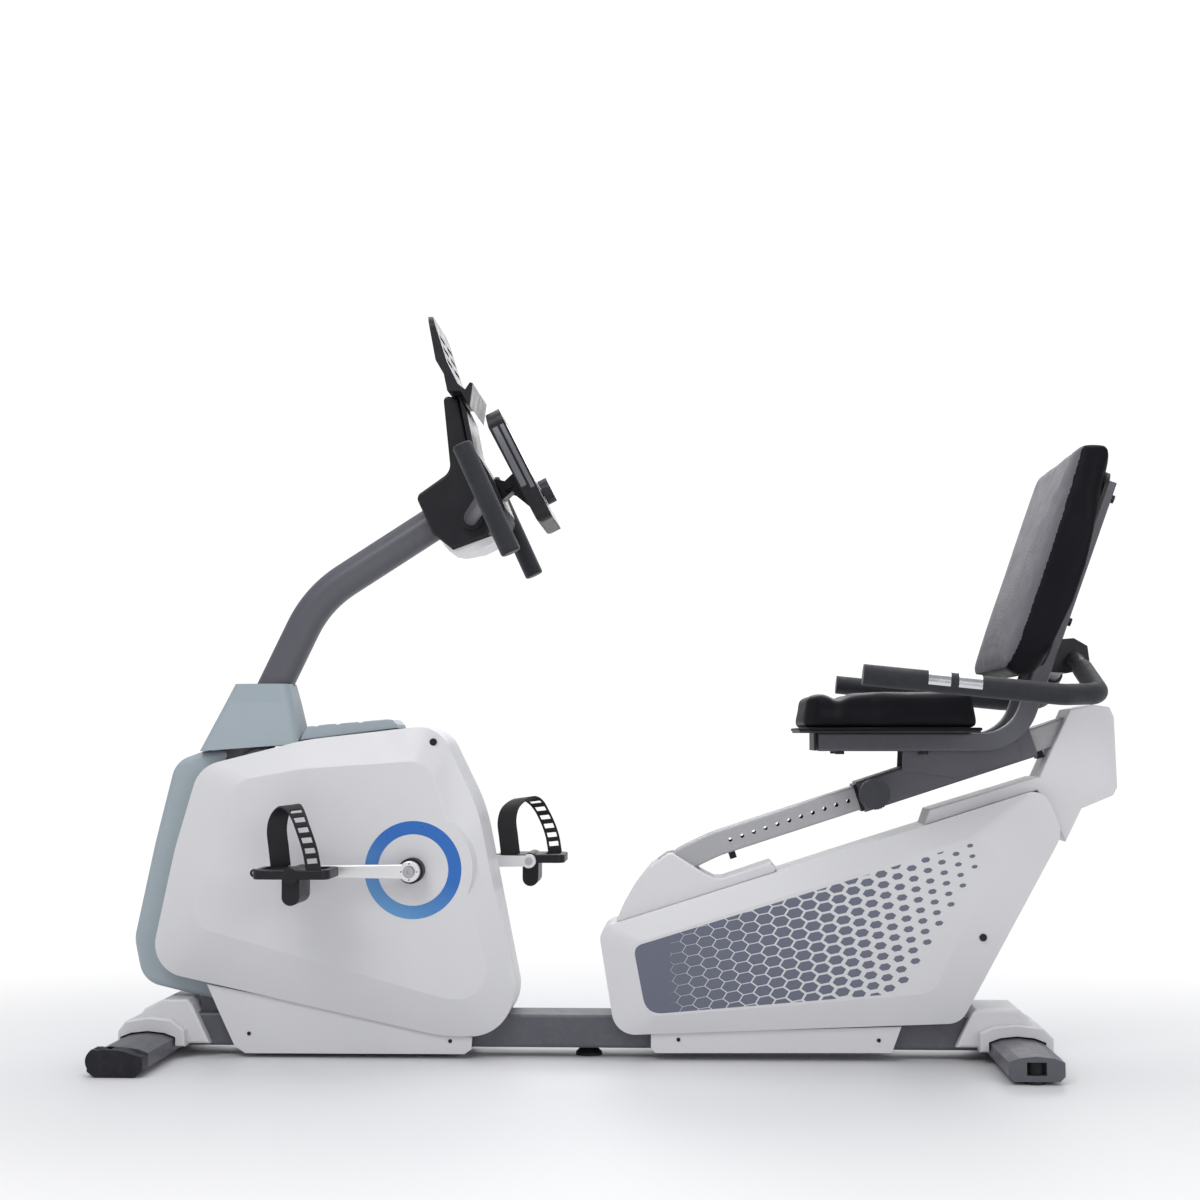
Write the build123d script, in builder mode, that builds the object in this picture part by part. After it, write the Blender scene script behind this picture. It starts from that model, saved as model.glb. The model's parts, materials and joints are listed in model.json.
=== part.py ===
"""Recumbent exercise bike, built as separate pieces in one frame.

Millimetres. +X points to the seat end, -X to the console end, +Z is up and the
origin lies on the floor under the middle of the machine. The rider faces -X,
so the rider's left side is -Y.
"""
import os
from math import atan2, cos, radians, sin, tan

from build123d import *

os.makedirs("parts", exist_ok=True)

# ---- driving dimensions ---------------------------------------------------------
FIT = 0.05                      # radial clearance of every running fit
WALL = 3.0                      # moulded shell thickness
GAP = 0.4                       # clearance where a cover stands over another piece

BEAM_HALF_WIDTH = 40.0
BEAM_BOTTOM = 16.0
BEAM_TOP = 70.0
FRONT_TUBE_X = -774.0           # centre of the front stabiliser
REAR_TUBE_X = 646.0             # centre of the rear stabiliser
TUBE_HALF_DEPTH = 43.0
STABILISER_HALF_LENGTH = 240.0
CAP_LENGTH = 30.0

POST_X = (-700.0, -664.0)       # upright that carries the mast
CRANK_X, CRANK_Z = -335.0, 310.0
CRANK_LENGTH = 170.0
CRANK_INNER_Y = 119.0
CRANK_THICKNESS = 12.0
SPINDLE_RADIUS = 10.0
PEDAL_AXLE_RADIUS = 7.0
PEDAL_INNER_Y = 146.0
PEDAL_WIDTH = 90.0

FLYWHEEL_X, FLYWHEEL_Z = -520.0, 250.0
FLYWHEEL_RADIUS = 115.0
FLYWHEEL_HALF_WIDTH = 13.0
FLYWHEEL_SHAFT_RADIUS = 8.5
DRIVE_PULLEY_RADIUS = 90.0
FLYWHEEL_PULLEY_RADIUS = 22.5   # four turns of the flywheel for one of the cranks
BELT_Y = 40.0
BELT_WIDTH = 14.0
BELT_THICKNESS = 3.0

SHROUD_SIDE_Y = 64.0
FRONT_PANEL_Y = 90.0
REAR_PANEL_Y = 78.0
BAND_HALF_WIDTH = 32.0

MAST_RADIUS = 29.0
RAIL_ANGLE = 18.1
RAIL_HALF_WIDTH = 30.0
RAIL_HALF_HEIGHT = 20.0
SLEEVE_HALF_WIDTH = 38.0
SLEEVE_HALF_HEIGHT = 26.0
HOLE_PITCH = 20.6
HOLE_COUNT = 13

SEAT_TUBE_Y = 52.0
SEAT_TUBE_WIDTH = 20.0
SEAT_TUBE_DEPTH = 30.0
BACK_ANGLE = 70.0
PAD_HALF_WIDTH = 200.0
ARM_Y = 270.0
BAR_RADIUS = 12.5
FOAM_RADIUS = 16.5

RAIL_ORIGIN = (396.0, 0.0, 426.0)
RAIL_DIR = (cos(radians(RAIL_ANGLE)), 0.0, sin(radians(RAIL_ANGLE)))
SIDES = (-1, 1)


# ---- helpers --------------------------------------------------------------------
def side(y):
    """Upright plane at this Y. Sketch coordinates are X and Z, the normal is -Y."""
    return Plane.XZ.offset(-y)


def across(x):
    """Upright plane at this X. Sketch coordinates are Y and Z, the normal is +X."""
    return Plane.YZ.offset(x)


def level(z):
    """Horizontal plane at this Z."""
    return Plane.XY.offset(z)


def outline(plane, points, radius=0.0, grow=0.0):
    """Face with the given corners, rounded by radius (one or a list) and then grown."""
    with BuildSketch(plane) as sketch:
        with BuildLine():
            if radius:
                FilletPolyline(*points, radius=radius, close=True)
            else:
                Polyline(*points, close=True)
        make_face()
        if grow:
            offset(amount=grow, kind=Kind.INTERSECTION)
    return sketch.sketch


def disc(plane, radius, x=0.0, z=0.0):
    """Round face at x, z of the plane."""
    with BuildSketch(plane) as sketch:
        with Locations((x, z)):
            Circle(radius)
    return sketch.sketch


def plate(points, y_low, y_high, radius=0.0, grow=0.0, mode=Mode.ADD):
    """Side outline extruded from y_low to y_high in the part being built."""
    extrude(outline(side(y_high), points, radius, grow), amount=y_high - y_low, mode=mode)


def rod(radius, x, z, y_low, y_high, mode=Mode.ADD):
    """Round bar along Y in the part being built."""
    extrude(disc(side(y_high), radius, x, z), amount=y_high - y_low, mode=mode)


def block(x, y, z, mode=Mode.ADD):
    """Box between the (low, high) pairs x, y and z."""
    with Locations(((x[0] + x[1]) / 2, (y[0] + y[1]) / 2, (z[0] + z[1]) / 2)):
        Box(x[1] - x[0], y[1] - y[0], z[1] - z[0], mode=mode)


def save(builder, name):
    """Label one finished piece and write it."""
    builder.part.label = name
    export_step(builder.part, "parts/" + name + ".step")


def rail_plane(along=0.0, y=0.0):
    """Side plane of the seat rail: sketch x runs up the rail, y is square to it."""
    origin = Vector(RAIL_ORIGIN) + Vector(RAIL_DIR) * along + Vector(0, y, 0)
    return Plane(origin=origin, x_dir=RAIL_DIR, z_dir=(0, -1, 0))


def rail_section(along=0.0):
    """Plane square to the seat rail: sketch x is Y, y is square to the rail."""
    origin = Vector(RAIL_ORIGIN) + Vector(RAIL_DIR) * along
    return Plane(origin=origin, x_dir=(0, 1, 0), z_dir=RAIL_DIR)


# ---- shared outlines ------------------------------------------------------------
FRONT_OUTER = [
    (-700, 478), (-520, 523), (-300, 548), (-232, 410),
    (-156, 37), (-290, 38), (-778, 144), (-738, 343),
]
FRONT_OUTER_RADII = [55, 400, 55, 300, 70, 200, 55, 400]
FRONT_PANEL = [
    (-636, 455), (-520, 475), (-310, 489), (-262, 330),
    (-200, 98), (-280, 102), (-716, 222), (-654, 340),
]
FRONT_PANEL_RADII = [45, 300, 45, 200, 45, 100, 40, 60]
BAND_OUTER = [
    (-706, 503), (-752, 486), (-784, 350), (-816, 190), (-800, 118), (-680, 90), (-560, 92), (-540, 515),
]
BAND_OUTER_RADII = [4, 42, 400, 60, 45, 60, 20, 4]
REAR_OUTER = [(-32, 213), (696, 444), (728, 372), (557, 64), (-4, 41)]
REAR_OUTER_RADII = [24, 28, 45, 35, 38]
REAR_PANEL = [(24, 190), (585, 366), (622, 335), (512, 114), (46, 73)]
REAR_PANEL_RADII = [18, 30, 20, 35, 28]


def tube_profile(x, low, high):
    """Flat-sided stabiliser profile with a domed top."""
    half = TUBE_HALF_DEPTH
    return [
        (x - half, low + 8), (x - half + 8, low), (x + half - 8, low), (x + half, low + 8),
        (x + half, high - 9), (x + half - 16, high - 3), (x, high), (x - half + 16, high - 3),
        (x - half, high - 9),
    ]


FRONT_TUBE = tube_profile(FRONT_TUBE_X, 4, 42)
REAR_TUBE = tube_profile(REAR_TUBE_X, 5, 43)

# ---- base: beam, stabilisers, feet ----------------------------------------------
FRONT_POST_X = 50.0
RAIL_START_Z = 240.0
REAR_POST = [(506, 70), (556, 70), (757, 500), (752, 521.2), (722, 511.4)]
BEAM_FRONT = FRONT_TUBE_X + TUBE_HALF_DEPTH
BEAM_REAR = REAR_TUBE_X - TUBE_HALF_DEPTH

with BuildPart() as main_beam:
    block((BEAM_FRONT, BEAM_REAR), (-BEAM_HALF_WIDTH, BEAM_HALF_WIDTH), (BEAM_BOTTOM, BEAM_TOP))
    fillet(main_beam.edges().filter_by(Axis.X), radius=6)
    block((BEAM_FRONT - 1, BEAM_REAR + 1), (-36, 36), (BEAM_BOTTOM + 4, BEAM_TOP - 4), mode=Mode.SUBTRACT)
    block((FRONT_POST_X - 20, FRONT_POST_X + 20), (-25, 25), (BEAM_TOP, RAIL_START_Z))
    plate(REAR_POST, -25, 25)
save(main_beam, "main_beam")

with BuildPart() as stabiliser_tubes:
    half_tube = STABILISER_HALF_LENGTH - CAP_LENGTH
    for profile in (FRONT_TUBE, REAR_TUBE):
        plate(profile, -half_tube, half_tube)
        plate(profile, -half_tube - 1, half_tube + 1, grow=-3, mode=Mode.SUBTRACT)
save(stabiliser_tubes, "stabiliser_tubes")

CENTRE_FOOT_X = -51.0
with BuildPart() as centre_foot:
    with BuildSketch(side(0)):
        with BuildLine():
            Polyline(
                (CENTRE_FOOT_X, 0), (CENTRE_FOOT_X + 22, 0), (CENTRE_FOOT_X + 22, 4),
                (CENTRE_FOOT_X + 10, BEAM_BOTTOM), (CENTRE_FOOT_X, BEAM_BOTTOM), close=True,
            )
        make_face()
    revolve(axis=Axis((CENTRE_FOOT_X, 0, 0), (0, 0, 1)))
save(centre_foot, "centre_foot")


def cover_body(main, collar, tube):
    """Moulded cover with an arched collar over a stabiliser tube, open underneath."""
    with BuildPart() as cover:
        plate(main, -58, 58)
        fillet(cover.faces().filter_by(Axis.Y).edges(), radius=5)
        plate(collar, -76, 76)
        collar_ends = cover.faces().filter_by(Axis.Y).sort_by(Axis.Y)
        fillet((collar_ends[0] + collar_ends[-1]).edges(), radius=3)
        plate(main, -52, 52, grow=-WALL, mode=Mode.SUBTRACT)
        plate(tube, -90, 90, grow=3, mode=Mode.SUBTRACT)
        box_low = min(point[1] for point in main) - 40
        low_x = min(point[0] for point in main) - 40
        high_x = max(point[0] for point in main) + 40
        middle = sum(point[0] for point in tube) / len(tube)
        block((middle - 40, middle + 40), (-90, 90), (box_low, 24), mode=Mode.SUBTRACT)
        side_half = BEAM_HALF_WIDTH + GAP
        if middle < 0:
            block((middle, high_x), (-side_half, side_half), (box_low, BEAM_TOP + GAP), mode=Mode.SUBTRACT)
        else:
            block((low_x, middle), (-side_half, side_half), (box_low, BEAM_TOP + GAP), mode=Mode.SUBTRACT)
    return cover


front_main = [(-676, 22), (-706, 84), (-714, 94), (-754, 94), (-786, 78), (-806, 50), (-806, 22)]
front_collar = [(-712, 20), (-714, 46), (-736, 63), (-774, 67), (-812, 60), (-824, 44), (-824, 20)]

rear_main = [(550, 24), (576, 78), (584, 85), (653, 85), (664, 75), (676, 56), (676, 24)]
rear_collar = [(586, 20), (586, 50), (606, 60), (646, 64), (688, 58), (704, 42), (704, 20)]
with BuildPart() as stabiliser_covers:
    add(cover_body(front_main, front_collar, FRONT_TUBE).part)
    add(cover_body(rear_main, rear_collar, REAR_TUBE).part)
    block((POST_X[0] - GAP, POST_X[1] + GAP), (-25 - GAP, 25 + GAP), (60, 100), mode=Mode.SUBTRACT)
save(stabiliser_covers, "stabiliser_covers")

WHEEL_X, WHEEL_Z, WHEEL_RADIUS = -804.5, 23.0, 20.5
WHEEL_MID_Y, WHEEL_WIDTH = 221.0, 20.0
CAP_INNER_Y = STABILISER_HALF_LENGTH - CAP_LENGTH
front_cap_outline = [
    (-818, 9), (-806, 0), (-744, 0), (-731, 10), (-731, 31), (-764, 41), (-792, 43), (-800, 41),
    (-812, 43), (-818, 34),
]
with BuildPart() as front_end_caps:
    for s in SIDES:
        low, high = sorted((s * CAP_INNER_Y, s * STABILISER_HALF_LENGTH))
        plate(front_cap_outline, low, high, radius=3)
        pocket = WHEEL_WIDTH / 2 + 0.8
        block((-830, WHEEL_X + WHEEL_RADIUS + 1.5), (s * WHEEL_MID_Y - pocket, s * WHEEL_MID_Y + pocket),
              (-1, 60), mode=Mode.SUBTRACT)
        rod(4, WHEEL_X, WHEEL_Z, s * WHEEL_MID_Y - pocket - 1, s * WHEEL_MID_Y + pocket + 1)
save(front_end_caps, "front_end_caps")

for s, wheel_name in ((-1, "front_wheel_left"), (1, "front_wheel_right")):
    with BuildPart() as wheel:
        y_low = s * WHEEL_MID_Y - WHEEL_WIDTH / 2
        rod(WHEEL_RADIUS, WHEEL_X, WHEEL_Z, y_low, y_low + WHEEL_WIDTH)
        fillet(wheel.edges().filter_by(GeomType.CIRCLE), radius=3)
        rod(4 + FIT, WHEEL_X, WHEEL_Z, y_low, y_low + WHEEL_WIDTH, mode=Mode.SUBTRACT)
    save(wheel, wheel_name)

LEVELLER_RADIUS = 13.0
LEVELLER_Y = 224.0
STUD_RADIUS = 4.0
with BuildPart() as rear_end_caps:
    for s in SIDES:
        low, high = sorted((s * CAP_INNER_Y, s * STABILISER_HALF_LENGTH))
        plate(REAR_TUBE, low, high, radius=2)
        with BuildSketch(level(14)):
            with Locations((REAR_TUBE_X, s * LEVELLER_Y)):
                Circle(LEVELLER_RADIUS + 1)
            with Locations((REAR_TUBE_X, s * (LEVELLER_Y + 20))):
                Rectangle(30, 40)
        extrude(amount=20, mode=Mode.SUBTRACT)
        with BuildSketch(level(0)):
            with Locations((REAR_TUBE_X, s * LEVELLER_Y)):
                Circle(STUD_RADIUS + FIT)
        extrude(amount=40, mode=Mode.SUBTRACT)
save(rear_end_caps, "rear_end_caps")

for s, side_name in ((-1, "left"), (1, "right")):
    with BuildPart() as leveller:
        with BuildSketch(level(15)):
            with Locations((REAR_TUBE_X, s * LEVELLER_Y)):
                Circle(LEVELLER_RADIUS)
                with PolarLocations(LEVELLER_RADIUS, 24):
                    Circle(0.9, mode=Mode.SUBTRACT)
        extrude(amount=18)
        with BuildSketch(level(4)):
            with Locations((REAR_TUBE_X, s * LEVELLER_Y)):
                Circle(STUD_RADIUS)
        extrude(amount=12)
        with BuildSketch(level(0)):
            with Locations((REAR_TUBE_X, s * LEVELLER_Y)):
                Circle(15.5)
        extrude(amount=4.6)
    save(leveller, "rear_leveller_" + side_name)

# ---- front shrouds, centre band, mast cover -------------------------------------
MAST_POINTS = [(-672, 440), (-518, 764), (-296, 907)]
MAST_BEND = 200.0
mast_foot = Plane(origin=(MAST_POINTS[0][0], 0, MAST_POINTS[0][1]), x_dir=(0, 1, 0),
                  z_dir=(MAST_POINTS[1][0] - MAST_POINTS[0][0], 0, MAST_POINTS[1][1] - MAST_POINTS[0][1]))


def mast_passage(radius, length=300):
    """Round channel along the lower mast."""
    extrude(disc(mast_foot, radius), amount=length, mode=Mode.SUBTRACT)


BAND_ZONE = [(-900, 60), (-600, 60), (-640, 140), (-640, 440), (-560, 560), (-900, 560)]


def beam_passage(mode=Mode.SUBTRACT):
    """Channel of the main beam, cut from every cover that it runs through."""
    half = BEAM_HALF_WIDTH + GAP
    block((-760, 640), (-half, half), (0, BEAM_TOP + GAP), mode=mode)


def shell(s, outer, outer_radii, panel, panel_radii, side_y, panel_y):
    """One hollow side shroud: an upright rim and a raised, sloping panel."""
    sign_plane = side(s * side_y)
    seam_low, seam_high = sorted((s * 1.0, s * side_y))
    with BuildPart() as half:
        plate(outer, seam_low, seam_high, radius=outer_radii)
        rim = outline(sign_plane, outer, outer_radii)
        top = outline(side(s * panel_y), panel, panel_radii)
        loft(sections=[rim, top], ruled=True)
        face = half.faces().filter_by(Axis.Y).sort_by(Axis.Y)[0 if s < 0 else -1]
        fillet(face.edges(), radius=4)
        seam_low, seam_high = sorted((0.0, s * (side_y - WALL)))
        plate(outer, seam_low, seam_high, radius=outer_radii, grow=-WALL, mode=Mode.SUBTRACT)
        inner_rim = outline(side(s * (side_y - WALL)), outer, outer_radii, grow=-WALL)
        inner_top = outline(side(s * (panel_y - WALL)), panel, panel_radii, grow=-WALL)
        loft(sections=[inner_rim, inner_top], ruled=True, mode=Mode.SUBTRACT)
        beam_passage()
    return half


HUB_HOLE_RADIUS = 17.0
BOSS_RIM_RADIUS, BOSS_FACE_RADIUS = 108.0, 98.0
CAP_RADIUS = 6.0
FRONT_CAP, REAR_CAP = (-306.0, 519.0), (594.0, 203.0)
for s, side_name in ((-1, "left"), (1, "right")):
    shroud = shell(s, FRONT_OUTER, FRONT_OUTER_RADII, FRONT_PANEL, FRONT_PANEL_RADII,
                   SHROUD_SIDE_Y, FRONT_PANEL_Y)
    with shroud:
        for inset, mode in ((0.0, Mode.ADD), (WALL, Mode.SUBTRACT)):
            rim = disc(side(s * (SHROUD_SIDE_Y - inset)), BOSS_RIM_RADIUS - inset, CRANK_X, CRANK_Z)
            face = disc(side(s * (FRONT_PANEL_Y - inset)), BOSS_FACE_RADIUS - inset, CRANK_X, CRANK_Z)
            loft(sections=[rim, face], mode=mode)
        rod(HUB_HOLE_RADIUS, CRANK_X, CRANK_Z, -100, 100, mode=Mode.SUBTRACT)
        plate(BAND_ZONE, -BAND_HALF_WIDTH - GAP, BAND_HALF_WIDTH + GAP, mode=Mode.SUBTRACT)
        mast_passage(MAST_RADIUS + 6)
        rod(CAP_RADIUS, *FRONT_CAP, -100, 100, mode=Mode.SUBTRACT)
        block((FLYWHEEL_X - 40 - GAP, FLYWHEEL_X + 100 + GAP), (-25 - GAP, 25 + GAP), (60, 110),
              mode=Mode.SUBTRACT)
    save(shroud, side_name + "_shroud")

with BuildPart() as centre_band:
    half = BAND_HALF_WIDTH
    plate(BAND_OUTER, -half, half, radius=BAND_OUTER_RADII)
    fillet(centre_band.faces().filter_by(Axis.Y).edges(), radius=12)
    plate(FRONT_OUTER, -half - 1, half + 1, radius=FRONT_OUTER_RADII, grow=-WALL, mode=Mode.SUBTRACT)
    plate(BAND_OUTER, -half + 8, half - 8, radius=0, grow=-9, mode=Mode.SUBTRACT)
    plate(BAND_ZONE, -100, 100, mode=Mode.INTERSECT)
    mast_passage(MAST_RADIUS + 6)
    block((POST_X[0] - GAP, POST_X[1] + GAP), (-25 - GAP, 25 + GAP), (60, 160), mode=Mode.SUBTRACT)
save(centre_band, "centre_band")

TRAY_TOP = [(-524, 545), (-488, 549), (-448, 552), (-390, 557), (-380, 556)]
with BuildPart() as top_tray:
    plate([(-536, 522)] + TRAY_TOP + [(-372, 548), (-370, 542.5)], -42, 42)
    fillet(top_tray.faces().filter_by(Axis.Y).edges().filter_by(Axis.Y, reverse=True), radius=2)
    for groove in range(3):
        x = -510 + 38 * groove
        rod(7, x, 551.5 + 3.2 * groove, -50, 50, mode=Mode.SUBTRACT)
save(top_tray, "top_tray")

TOWER_BASE_Z = 470.0
TOWER_TOP_Z = 617.0


def tower_section(z, low, high, half, corner, grow=0.0):
    """Rounded rectangle at height z between the X values low and high."""
    with BuildSketch(level(z)) as sketch:
        with Locations(((low + high) / 2, 0)):
            RectangleRounded(high - low + 2 * grow, 2 * (half + grow), corner + grow)
    return sketch.sketch


with BuildPart() as mast_cover:
    loft(sections=[tower_section(TOWER_BASE_Z, -722, -524, 62, 18),
                   tower_section(585, -667, -549, 44, 20),
                   tower_section(TOWER_TOP_Z, -652, -557, 42, 24)], ruled=True)
    loft(sections=[tower_section(TOWER_BASE_Z, -722, -524, 62, 18, -WALL),
                   tower_section(585, -667, -549, 44, 20, -WALL),
                   tower_section(TOWER_TOP_Z - 4, -653, -558, 42, 24, -WALL)],
         ruled=True, mode=Mode.SUBTRACT)
    plate(FRONT_OUTER, -100, 100, radius=FRONT_OUTER_RADII, grow=GAP, mode=Mode.SUBTRACT)
    plate(BAND_OUTER, -100, 100, radius=BAND_OUTER_RADII, grow=GAP, mode=Mode.SUBTRACT)
    mast_passage(MAST_RADIUS + 1)
    plate([(-542, 500), (-530, 560), (-300, 560), (-300, 500)], -50, 50, grow=GAP, mode=Mode.SUBTRACT)
save(mast_cover, "mast_cover")

# ---- drive inside the front shrouds ---------------------------------------------
BRAKE_PIVOT = (FLYWHEEL_X + 103, FLYWHEEL_Z + 122)
BRAKE_PIN_RADIUS = 6.0
with BuildPart() as drive_frame:
    block(POST_X, (-25, 25), (BEAM_TOP, 400))
    plate([(-700, 400), (-664, 400), (-640, 440), (-660, 480), (-700, 430)], -25, 25)
    extrude(disc(mast_foot.offset(8), MAST_RADIUS + 5), amount=90)
    extrude(disc(mast_foot.offset(-1), MAST_RADIUS), amount=120, mode=Mode.SUBTRACT)
    block((-360, -312), (-24, 24), (BEAM_TOP, CRANK_Z - 15))
    rod(28, CRANK_X, CRANK_Z, -34, 34)
    rod(22, CRANK_X, CRANK_Z, -35, 35, mode=Mode.SUBTRACT)
    for s in SIDES:
        low, high = sorted((s * 21.0, s * 25.0))
        plate([(FLYWHEEL_X - 40, BEAM_TOP), (FLYWHEEL_X + 100, BEAM_TOP), (FLYWHEEL_X + 118, 360),
               (FLYWHEEL_X + 90, 385), (FLYWHEEL_X + 70, 300), (FLYWHEEL_X - 18, FLYWHEEL_Z + 20)],
              low, high)
    rod(16, FLYWHEEL_X, FLYWHEEL_Z, -26, 26, mode=Mode.SUBTRACT)
    rod(BRAKE_PIN_RADIUS, BRAKE_PIVOT[0], BRAKE_PIVOT[1], -21, 21)
save(drive_frame, "drive_frame")

with BuildPart() as shaft_bearings:
    for y in (-32, 22):
        rod(22, CRANK_X, CRANK_Z, y, y + 10)
        rod(SPINDLE_RADIUS + FIT, CRANK_X, CRANK_Z, y, y + 10, mode=Mode.SUBTRACT)
    for y in (-26, 20):
        rod(16, FLYWHEEL_X, FLYWHEEL_Z, y, y + 6)
        rod(FLYWHEEL_SHAFT_RADIUS + FIT, FLYWHEEL_X, FLYWHEEL_Z, y, y + 6, mode=Mode.SUBTRACT)
save(shaft_bearings, "shaft_bearings")

with BuildPart() as flywheel:
    half = FLYWHEEL_HALF_WIDTH
    rod(FLYWHEEL_RADIUS, FLYWHEEL_X, FLYWHEEL_Z, -half, half)
    for s in SIDES:
        low, high = sorted((s * 6.0, s * (half + 1)))
        rod(FLYWHEEL_RADIUS - 18, FLYWHEEL_X, FLYWHEEL_Z, low, high, mode=Mode.SUBTRACT)
        rod(22, FLYWHEEL_X, FLYWHEEL_Z, low, high - 1)
    rod(FLYWHEEL_SHAFT_RADIUS, FLYWHEEL_X, FLYWHEEL_Z, -30, 30, mode=Mode.SUBTRACT)
save(flywheel, "flywheel")


def ribbed_pulley(radius, x, z):
    """Pulley for a ribbed belt, with low flanges on both sides."""
    rod(radius, x, z, BELT_Y, BELT_Y + BELT_WIDTH)
    for y in (BELT_Y - 1.5, BELT_Y + BELT_WIDTH):
        rod(radius + 1.5, x, z, y, y + 1.5)


with BuildPart() as flywheel_shaft:
    rod(FLYWHEEL_SHAFT_RADIUS, FLYWHEEL_X, FLYWHEEL_Z, -30, BELT_Y + BELT_WIDTH + 4)
    ribbed_pulley(FLYWHEEL_PULLEY_RADIUS, FLYWHEEL_X, FLYWHEEL_Z)
save(flywheel_shaft, "flywheel_shaft")

with BuildPart() as drive_pulley:
    ribbed_pulley(DRIVE_PULLEY_RADIUS, CRANK_X, CRANK_Z)
    rod(SPINDLE_RADIUS, CRANK_X, CRANK_Z, BELT_Y - 5, BELT_Y + BELT_WIDTH + 5, mode=Mode.SUBTRACT)
    with BuildSketch(side(BELT_Y + BELT_WIDTH + 2)):
        with Locations((CRANK_X, CRANK_Z)):
            with PolarLocations(52, 5):
                Circle(20)
    extrude(amount=BELT_WIDTH + 4, mode=Mode.SUBTRACT)
save(drive_pulley, "drive_pulley")

centre_distance = ((CRANK_X - FLYWHEEL_X) ** 2 + (CRANK_Z - FLYWHEEL_Z) ** 2) ** 0.5
belt_gap = 0.4


def belt_loop(grow):
    """Face inside an open belt round both pulleys, drawn grown by this much."""
    big = DRIVE_PULLEY_RADIUS + grow
    small = FLYWHEEL_PULLEY_RADIUS + grow
    slope = atan2(CRANK_Z - FLYWHEEL_Z, CRANK_X - FLYWHEEL_X)
    lean = (DRIVE_PULLEY_RADIUS - FLYWHEEL_PULLEY_RADIUS) / centre_distance
    top = slope + radians(90) + lean
    low = slope - radians(90) - lean
    with BuildSketch(side(BELT_Y + BELT_WIDTH - 1)) as sketch:
        with BuildLine():
            big_points = [(CRANK_X + big * cos(a), CRANK_Z + big * sin(a)) for a in (top, low)]
            small_points = [(FLYWHEEL_X + small * cos(a), FLYWHEEL_Z + small * sin(a)) for a in (low, top)]
            big_side = (CRANK_X + big * cos(slope), CRANK_Z + big * sin(slope))
            small_side = (FLYWHEEL_X - small * cos(slope), FLYWHEEL_Z - small * sin(slope))
            ThreePointArc(big_points[0], big_side, big_points[1])
            Line(big_points[1], small_points[0])
            ThreePointArc(small_points[0], small_side, small_points[1])
            Line(small_points[1], big_points[0])
        make_face()
    return sketch.sketch


with BuildPart() as drive_belt:
    extrude(belt_loop(belt_gap + BELT_THICKNESS), amount=BELT_WIDTH - 2)
    extrude(belt_loop(belt_gap), amount=BELT_WIDTH - 2, mode=Mode.SUBTRACT)
save(drive_belt, "drive_belt")

with BuildPart() as brake_arm:
    with BuildSketch(side(12)):
        with BuildLine():
            inner, outer = FLYWHEEL_RADIUS + 4, FLYWHEEL_RADIUS + 20
            ends = [radians(a) for a in (60, 125)]
            mid = radians(92)
            corners = [[(FLYWHEEL_X + r * cos(a), FLYWHEEL_Z + r * sin(a)) for a in ends]
                       for r in (inner, outer)]
            ThreePointArc(corners[0][0], (FLYWHEEL_X + inner * cos(mid), FLYWHEEL_Z + inner * sin(mid)),
                          corners[0][1])
            Line(corners[0][1], corners[1][1])
            ThreePointArc(corners[1][1], (FLYWHEEL_X + outer * cos(mid), FLYWHEEL_Z + outer * sin(mid)),
                          corners[1][0])
            Line(corners[1][0], corners[0][0])
        make_face()
    extrude(amount=24)
    pivot_x, pivot_z = BRAKE_PIVOT
    plate([corners[0][0], (pivot_x + 4, pivot_z - 12), (pivot_x + 10, pivot_z + 8),
           (pivot_x - 8, pivot_z + 12), corners[1][0]], -12, 12)
    rod(BRAKE_PIN_RADIUS + FIT, pivot_x, pivot_z, -13, 13, mode=Mode.SUBTRACT)
save(brake_arm, "brake_arm")

# ---- cranks and pedals ----------------------------------------------------------
with BuildPart() as crank_spindle:
    rod(SPINDLE_RADIUS, CRANK_X, CRANK_Z, -CRANK_INNER_Y - 9, CRANK_INNER_Y + 9)
    bolt_end = CRANK_INNER_Y + CRANK_THICKNESS + 2
    rod(SPINDLE_RADIUS - 2, CRANK_X, CRANK_Z, -bolt_end, bolt_end)
    for y in (-CRANK_INNER_Y + 2, CRANK_INNER_Y - 6):
        rod(SPINDLE_RADIUS + 5, CRANK_X, CRANK_Z, y, y + 4)
    for s in SIDES:
        with BuildSketch(side(s * bolt_end)):
            with Locations((CRANK_X, CRANK_Z)):
                RegularPolygon(4, 6)
        extrude(amount=s * 4, mode=Mode.SUBTRACT)
save(crank_spindle, "crank_spindle")

for s, side_name in ((-1, "left"), (1, "right")):
    axle_x = CRANK_X + s * CRANK_LENGTH
    y_low, y_high = sorted((s * CRANK_INNER_Y, s * (CRANK_INNER_Y + CRANK_THICKNESS)))
    with BuildPart() as crank:
        plate([(CRANK_X, CRANK_Z + 12), (axle_x, CRANK_Z + 9),
               (axle_x, CRANK_Z - 9), (CRANK_X, CRANK_Z - 12)], y_low, y_high)
        rod(17, CRANK_X, CRANK_Z, y_low, y_high)
        rod(12, axle_x, CRANK_Z, y_low, y_high)
        outer_face = crank.faces().filter_by(Axis.Y).sort_by(Axis.Y)[0 if s < 0 else -1]
        fillet(outer_face.edges(), radius=2.5)
        with BuildSketch(side(s * (CRANK_INNER_Y + CRANK_THICKNESS))):
            with Locations(((CRANK_X + axle_x) / 2, CRANK_Z)):
                SlotOverall(CRANK_LENGTH - 52, 8)
        extrude(amount=s * 1.2, mode=Mode.SUBTRACT)
        rod(SPINDLE_RADIUS, CRANK_X, CRANK_Z, -140, 140, mode=Mode.SUBTRACT)
        rod(PEDAL_AXLE_RADIUS, axle_x, CRANK_Z, -140, 140, mode=Mode.SUBTRACT)
    save(crank, side_name + "_crank")

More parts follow.
